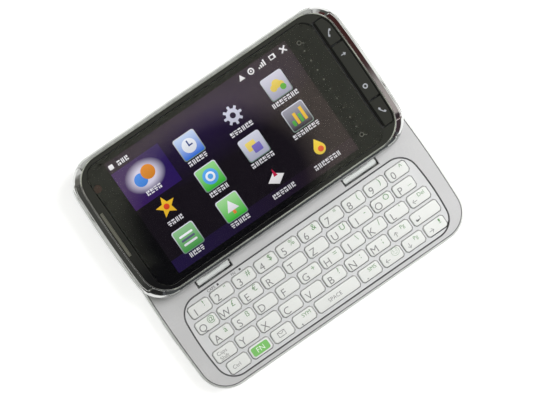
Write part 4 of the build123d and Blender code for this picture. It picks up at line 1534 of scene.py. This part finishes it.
@dataclass
class ScreenPicture:
    """Lit picture under the touch window: cells, icons, labels and status marks."""

    left: float = -42.3
    right: float = 36.1
    half_height: float = 23.5
    middle_y: float = 40.4
    back: float = 15.61
    first_x: float = -32.4
    first_y: float = 12.0
    step_x: float = 19.0
    step_y: float = 13.4
    columns: int = 4
    tile_size: float = 9.0
    tile_rim: float = 0.35
    tile_corners: Span = (0.9, 0.7)
    rim_span: Span = (0.03, 0.05)
    tile_span: Span = (0.05, 0.07)
    cell_size: Span = (10.1, 8.6)
    cell_from_top: float = 4.4
    ground_span: Span = (-0.008, 0.01)
    cell_span: Span = (0.01, 0.025)
    foot_height: float = 5.0
    corner_label_at: Span = (6.6, 3.3)
    label_gap: float = 0.45
    sign_pitch: float = 1.6
    sign_width: float = 1.25
    sign_height: float = 1.75
    status_drop: float = 2.2

    def lit(self, colour: Colour) -> Finish:
        """Evenly lit finish of one colour, a little darker towards its foot."""
        name = "lit_" + "_".join(f"{round(channel * 999):03d}" for channel in colour)
        return LitPixels(name, colour, shade(colour, 0.78))

    def centre(self, number: int) -> Span:
        """Middle of an icon on the display, by its number."""
        row, column = divmod(number, self.columns)
        return self.first_x + column * self.step_x, self.middle_y + self.first_y - row * self.step_y

    def lay_uv(self, bm: BMesh, index: int = 0) -> None:
        """Lay a 0 to 1 map over the faces of one material, from their own extent.

        Args:
            bm: Mesh that holds the faces.
            index: Material index of the faces.
        """
        layer = bm.loops.layers.uv.verify()
        loops = [loop for face in bm.faces if face.material_index == index for loop in face.loops]
        if loops:
            xs, ys = [loop.vert.co.x for loop in loops], [loop.vert.co.y for loop in loops]
            low, size = (min(xs), min(ys)), (max(xs) - min(xs), max(ys) - min(ys))
            for loop in loops:
                loop[layer].uv = ((loop.vert.co.x - low[0]) / size[0], (loop.vert.co.y - low[1]) / size[1])

    def build_icons(self) -> None:
        """Make the tiles and motifs of every icon."""
        rim = LitPixels("lit_tile_rim", tint(214, 216, 228), tint(96, 120, 110))
        outer = self.tile_size / 2
        inner = outer - self.tile_rim
        for number, icon in enumerate(ICONS):
            stock = Stock((*self.centre(number), self.back))
            finishes: list[Finish] = [self.lit(icon.ink), self.lit(icon.accent)]
            if icon.tile is not None:
                finishes += [rim, LitPixels(f"lit_tile_{number}", *icon.tile)]
                stock.plate((-outer, outer), (-outer, outer), self.rim_span, self.tile_corners[0], index=2)
                stock.plate((-inner, inner), (-inner, inner), self.tile_span, self.tile_corners[1], index=3)
            icon.draw(stock)
            for index in range(len(finishes)):
                self.lay_uv(stock.bm, index)
            stock.on_display(f"screen_icon_{number}", finishes, "lcd_glass")

    def label(self, stock: Stock, x: float, y: float, count: int, first: int) -> None:
        """Add one line of stroke patterns that reads as small writing from afar.

        Args:
            stock: Mesh to add to.
            x: Middle of the line.
            y: Foot of the line.
            count: Number of patterns in it.
            first: Number of the first pattern.
        """
        wide, tall = self.sign_width, self.sign_height
        for index in range(count):
            left = x + (index - count / 2) * self.sign_pitch
            for x0, y0, x1, y1 in SIGN_STROKES[(first + index * 2) % len(SIGN_STROKES)]:
                stock.block((left + x0 * wide, y + y0 * tall, 0.0), (left + x1 * wide, y + y1 * tall, 0.02))

    def build_labels(self) -> None:
        """Lines of stroke patterns under the icons and in the upper corner."""
        stock = Stock((0.0, 0.0, self.back + 0.05))
        for number in range(len(ICONS)):
            x, y = self.centre(number)
            foot = y - self.tile_size / 2 - self.sign_height - self.label_gap
            self.label(stock, x, foot, 4 + (number * 5) % 4, number)
        x, drop = self.corner_label_at
        self.label(stock, self.left + x, self.middle_y + self.half_height - drop, 3, 1)
        self.lay_uv(stock.bm)
        stock.on_display("screen_labels", [self.lit(tint(226, 226, 232))], "lcd_glass")

    def build_status(self) -> None:
        """Small white status marks along the top of the screen."""
        thin = (0.0, 0.02)
        stock = Stock((0.0, self.middle_y + self.half_height - self.status_drop, self.back + 0.05))
        x = self.right - 2.2
        for angle in (45, -45):
            bar = stock.block((x - 1.5, -0.28, 0.0), (x + 1.5, 0.28, thin[1]))
            stock.turn(bar, (x, 0), radians(angle))
        x -= 4.6
        for low, high in (
            ((-1.4, -0.9), (1.0, -0.55)),
            ((-1.4, 0.55), (1.0, 0.9)),
            ((-1.4, -0.55), (-1.05, 0.55)),
            ((0.3, -0.55), (1.0, 0.55)),
        ):
            stock.block((x + low[0], low[1], 0.0), (x + high[0], high[1], thin[1]))
        x -= 5.0
        for index in range(4):
            left = x - 1.5 + index * 0.85
            stock.block((left, -1.1, 0.0), (left + 0.55, index * 0.55 - 0.5, thin[1]))
        x -= 4.4
        stock.ring((x, 0), thin, 0.75, 1.25, 20)
        stock.disc((x, 0), thin, 0.35, 12)
        x -= 4.2
        stock.prism(((x - 1.2, -0.9), (x + 1.2, -0.9), (x, 1.2)), thin)
        x = self.left + 1.6
        stock.plate((x - 0.9, x + 0.9), (-0.9, 0.9), thin, 0.3, 2)
        self.lay_uv(stock.bm)
        stock.on_display("screen_status_marks", [self.lit(tint(238, 238, 242))], "lcd_glass")

    def build_backdrop(self) -> None:
        """Dark ground of the picture with the chosen cell and the bar along its foot."""
        low = self.middle_y - self.half_height
        high = self.middle_y + self.half_height
        x, y = self.centre(0)
        tints = (tint(27, 14, 52), tint(8, 6, 12), tint(6, 5, 9))
        ground = HaloGlow("lit_ground", (-6, 57), (46, 14), *tints, (low, high), (0.1, 1.2))
        tints = (tint(206, 202, 220), tint(51, 25, 83), tint(34, 16, 82))
        chosen = HaloGlow("lit_chosen_cell", (x, y), (6.6, 5), *tints, (self.left, x + 9))
        foot = LitPixels("lit_foot", tint(20, 12, 24), tint(22, 12, 54), (self.left, self.right - 20), Axis.X)
        cell_right, cell_y_span = x + self.cell_size[0], (y - self.cell_size[1], high - self.cell_from_top)
        for name, right, y_span, z_span, finish in (
            ("screen_ground", self.right, (low, high), self.ground_span, ground),
            ("screen_chosen_cell", cell_right, cell_y_span, self.cell_span, chosen),
            ("screen_foot_bar", self.right, (low, low + self.foot_height), self.cell_span, foot),
        ):
            stock = Stock((0.0, 0.0, self.back))
            stock.block(*zip((self.left, right), y_span, z_span))
            stock.on_display(name, [finish], "lcd_glass")

    def build(self) -> None:
        """Make the whole picture."""
        self.build_backdrop()
        self.build_icons()
        self.build_labels()
        self.build_status()
        dress(FACE_BLACK, "lcd_panel")


@dataclass
class Face:
    """Black face: fascia, touch window with its mask, hard keys and faint printed marks."""

    screen: ScreenPicture
    mask_low: float = 15.74
    mask_high: float = 15.88
    mask_inset: float = 0.1
    mark_lift: float = 0.004
    ink: Span = (0.0, 0.012)
    film: Span = (0.0, 0.01)
    slider_x: float = 39.9
    slider_half: float = 19.9
    slider_margin: float = 3.5
    slider_dots: int = 9
    lens_radius: float = 1.5
    handset_at: float = 16.9
    arrow_at: float = 7.6
    ring_at: float = -6.3

    def mask(self) -> None:
        """Black print behind the window, open over the lit area."""
        low, high, _ = box_mm("touch_window")
        screen = self.screen
        bottom, top = screen.middle_y - screen.half_height, screen.middle_y + screen.half_height
        near, far = low.y + self.mask_inset, high.y - self.mask_inset
        stock = Stock()
        for x_span, y_span in (
            ((low.x + self.mask_inset, screen.left), (near, far)),
            ((screen.right, high.x - self.mask_inset), (near, far)),
            ((screen.left, screen.right), (near, bottom)),
            ((screen.left, screen.right), (top, far)),
        ):
            stock.block(*zip(x_span, y_span, (self.mask_low, self.mask_high)))
        stock.on_display("window_mask", [MASK_BLACK], "face_black")

    def printed(self, x: float, y: float) -> Stock:
        """Stock for a thin mark that lies on the mask, from a place in plan."""
        return Stock((x, y, self.mask_high + self.mark_lift))

    def zoom_marks(self) -> None:
        """Faint scale of dots between two small lens signs, printed on the mask."""
        stock = self.printed(self.slider_x, self.screen.middle_y)
        for side in (-1, 1):
            y = side * self.slider_half
            stock.ring((0, y), self.film, 0.62, 0.85, 20)
            handle = stock.block((0.8, y - 0.12, 0.0), (1.9, y + 0.12, self.film[1]))
            stock.turn(handle, (0, y), radians(-35))
        steps = self.slider_dots - 1
        pitch = 2 * (self.slider_half - self.slider_margin) / steps
        for index in range(self.slider_dots):
            stock.disc((0, (index - steps / 2) * pitch), self.film, 0.28, 12)
        stock.on_display("zoom_scale_marks", [FAINT_MARK], "face_black")

    def front_lens(self) -> None:
        """Small coated lens of the front camera under the window."""
        middle = box_mm("front_camera")[2]
        stock = self.printed(middle.x, middle.y)
        stock.disc((0, 0), self.film, self.lens_radius, 32)
        stock.on_display("front_lens", [PianoBlack("lens_red_coat", tint(96, 70, 62), 0.2)], "face_black")

    def hard_key_marks(self) -> None:
        """Call, back, home and end signs on the hard keys."""
        low, high, _ = box_mm("call_key")
        origin = ((low.x + high.x) / 2 - 0.2, self.screen.middle_y, high.z + self.mark_lift)
        self.handset("call_key", origin, self.handset_at, 55)
        self.handset("end_key", origin, -self.handset_at, 125)
        stock = Stock(origin)
        y = self.arrow_at
        stock.block((-0.9, y - 0.15, 0.0), (0.2, y + 0.15, self.ink[1]))
        stock.prism(((0.2, y - 0.7), (1.1, y), (0.2, y + 0.7)), self.ink)
        stock.ring((0, self.ring_at), self.ink, 0.5, 0.95, 24)
        stock.piece("centre_key_marks", "centre_key", [KEY_MARK], "face_black")

    def handset(self, node: str, origin: Point, y: float, turn: float) -> None:
        """Telephone handset sign on a key.

        Args:
            node: Key that carries it.
            origin: Middle of the row of hard keys, on their tops.
            y: Middle of the sign along the row.
            turn: Direction of the handset in degrees.
        """
        stock = Stock(origin)
        stock.block((-1.1, y - 0.18, 0.0), (1.1, y + 0.18, self.ink[1]))
        for side in (-1, 1):
            x = side * 1.1
            stock.block((x - 0.4, y - 0.62, 0.0), (x + 0.4, y + 0.05, self.ink[1] + 0.002))
        stock.turn(stock.bm.faces, (0, y), radians(turn))
        stock.piece(f"{node}_mark", node, [KEY_MARK], "face_black")

    def key_gap_shade(self) -> None:
        """Matt black strip between the window and the hard keys: painted shade for the dark gap there."""
        window, call, end = box_mm("touch_window")[1], box_mm("call_key"), box_mm("end_key")
        x_span = (window.x + 0.25, min(call[0].x, end[0].x) - 0.02)
        stock = Stock()
        stock.plate(x_span, (end[0].y + 0.5, call[1].y - 0.5), (window.z, window.z + 0.01), 0.3)
        stock.on_display("hard_key_gap_shade", [KEY_GAP_SHADE], "face_black")

    def build(self) -> None:
        """Make the face."""
        softened_node("face_frame", "face_fascia", FACE_BLACK, "face_black", 0.03)
        dress(PANE, "touch_window")
        dress(KEY_BLACK, "call_key", "centre_key", "end_key")
        self.mask()
        self.zoom_marks()
        self.front_lens()
        self.key_gap_shade()
        self.hard_key_marks()


# ---- studio ---------------------------------------------------------------------------------
@dataclass
class Studio:
    """Floor, soft lamps, pale surroundings and the camera."""

    floor_size: float = 3.0
    floor_drop: float = 0.0001
    lamps_aim_at: Point = (0.0, 0.02, 0.0)
    camera_at_mm: Point = (-20.84, 36.0, 511.8)
    look_at_mm: Point = (-1.12, 19.95, 9.5)
    image_turn: float = -34.66
    lens_mm: float = 93.06
    wall_top: Span = (0.7, 0.82)
    far_wall: Colour = (0.92, 0.92, 0.9)
    near_wall: Colour = (0.13, 0.135, 0.145)
    left_wall: Colour = (0.2, 0.195, 0.175)
    black_corner: Colour = (0.03, 0.03, 0.03)
    dark_corner: Colour = (0.11, 0.028, 0.027)
    purple_corner: Colour = (0.075, 0.05, 0.06)
    green_corner: Colour = (0.12, 0.135, 0.12)
    pale_corner: Colour = (1.0, 0.88, 0.88)
    upper_room: Colour = (0.05, 0.05, 0.055)
    ceiling_from: Span = (0.88, 0.92)
    ceiling: Colour = (0.8, 0.83, 0.68)
    onlooker: Colour = (0.09, 0.09, 0.11)
    onlooker_centre: Span = (0.014, -0.013)
    onlooker_radii: Span = (0.074, 0.057)
    onlooker_side: float = 0.066

    def floor(self) -> None:
        """Pale floor under the phone."""
        bm = bmesh.new()
        place = Matrix.Translation((0, 0, -self.floor_drop))
        bmesh.ops.create_grid(bm, x_segments=1, y_segments=1, size=self.floor_size / 2, matrix=place)
        mesh = baked(bm, "studio_floor")
        mesh.materials.append(StudioFloor("studio_floor").material())
        linked("studio_floor", mesh)

    def lamp(self, name: str, place: Point, size: float, power: float) -> None:
        """Soft square lamp aimed at the phone, which no polished surface mirrors.

        Args:
            name: Name of the lamp.
            place: Where it hangs, in metres.
            size: Side of the lamp in metres.
            power: Power in watts.
        """
        data = bpy.data.lights.new(name, "AREA")
        data.shape = "SQUARE"
        data.size = size
        data.energy = power
        lamp = linked(name, data)
        lamp.location = place
        lamp.rotation_mode = "QUATERNION"
        lamp.rotation_quaternion = (Vector(place) - Vector(self.lamps_aim_at)).to_track_quat("Z", "Y")
        lamp.visible_glossy = False
        lamp.visible_transmission = False

    def walls(self, bench: NodeBench, x: object, y: object, z: object) -> Socket:
        """Four walls of unlike brightness, split by the direction that a ray leaves in.

        Args:
            bench: Nodes of the world.
            x: X of the direction.
            y: Y of the direction.
            z: Z of the direction.

        Returns:
            Their colour.
        """
        side = bench.math("DIVIDE", y, bench.math("MAXIMUM", bench.math("ABSOLUTE", x), 0.001))
        far = bench.fade(z, (0.3, 0.42), self.green_corner, self.dark_corner)
        right = bench.fade(side, (-0.02, 0.04), self.purple_corner, far)
        right = bench.blend(bench.between(side, (-0.24, -0.04), 0.05), right, self.pale_corner)
        left = bench.fade(side, (-0.35, -0.15), self.black_corner, self.left_wall)
        walls = bench.fade(x, (-0.05, 0.05), left, right)
        walls = bench.fade(side, (0.8, 1.1), walls, self.far_wall)
        walls = bench.fade(side, (-1.6, -1.3), self.near_wall, walls)
        return bench.fade(z, (0.01, 0.05), self.far_wall, walls)

    def surroundings(self) -> None:
        """Room round the phone: its walls and a pale ceiling with an onlooker under it."""
        world = bpy.data.worlds.new("studio_world")
        bpy.context.scene.world = world
        bench = NodeBench(world)
        x, y, z = (bench.axis_value(axis, Coordinates.DIRECTION) for axis in Axis)
        room = bench.fade(z, self.wall_top, self.walls(bench, x, y, z), self.upper_room)
        along, across = bench.math("DIVIDE", x, z), bench.math("DIVIDE", y, z)
        head = bench.reach(along, across, self.onlooker_centre, self.onlooker_radii)
        head = bench.ranged(head, (0.85, 1.15), (1.0, 0.0))
        edge = bench.ranged(along, (self.onlooker_side - 0.01, self.onlooker_side + 0.012), (1.0, 0.0))
        trunk = bench.ranged(across, (self.onlooker_centre[1] - 0.012, self.onlooker_centre[1]), (1.0, 0.0))
        shadow = bench.math("MAXIMUM", head, bench.math("MULTIPLY", edge, trunk))
        ceiling = bench.blend(shadow, self.ceiling, self.onlooker)
        light = bench.add("ShaderNodeBackground")
        bench.feed(light, "Color", bench.fade(z, self.ceiling_from, room, ceiling))
        bench.feed(bench.output, "Surface", light.outputs[0])

    def camera(self) -> None:
        """Camera above the phone, turned so that the phone lies slantwise."""
        at = Vector(self.camera_at_mm) * MM
        back = (at - Vector(self.look_at_mm) * MM).normalized()
        hint = Vector((cos(radians(self.image_turn)), sin(radians(self.image_turn)), 0))
        up = back.cross(hint).normalized()
        right = up.cross(back).normalized()
        data = bpy.data.cameras.new("view_camera")
        data.lens = self.lens_mm
        data.sensor_width = 36.0
        data.clip_start = 0.01
        camera = linked("view_camera", data)
        camera.matrix_world = Matrix.Translation(at) @ Matrix((right, up, back)).transposed().to_4x4()
        bpy.context.scene.camera = camera

    def build(self) -> None:
        """Set up the studio."""
        self.floor()
        self.lamp("near_lamp", (0.3, 0.02, 0.42), 0.3, 2.3)
        self.lamp("top_lamp", (-0.05, -0.1, 0.95), 0.9, 1.15)
        self.surroundings()
        self.camera()
        bpy.context.scene.view_settings.view_transform = "Standard"


def main() -> None:
    """Build and dress the whole phone."""
    logging.basicConfig(level=logging.INFO, format="%(name)s %(message)s")
    screen = ScreenPicture()
    for part in (Studio(), Base(), Keyboard(), TiltCarrier(), Surround(), screen, Face(screen)):
        part.build()
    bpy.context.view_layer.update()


if __name__ == "__main__":
    main()
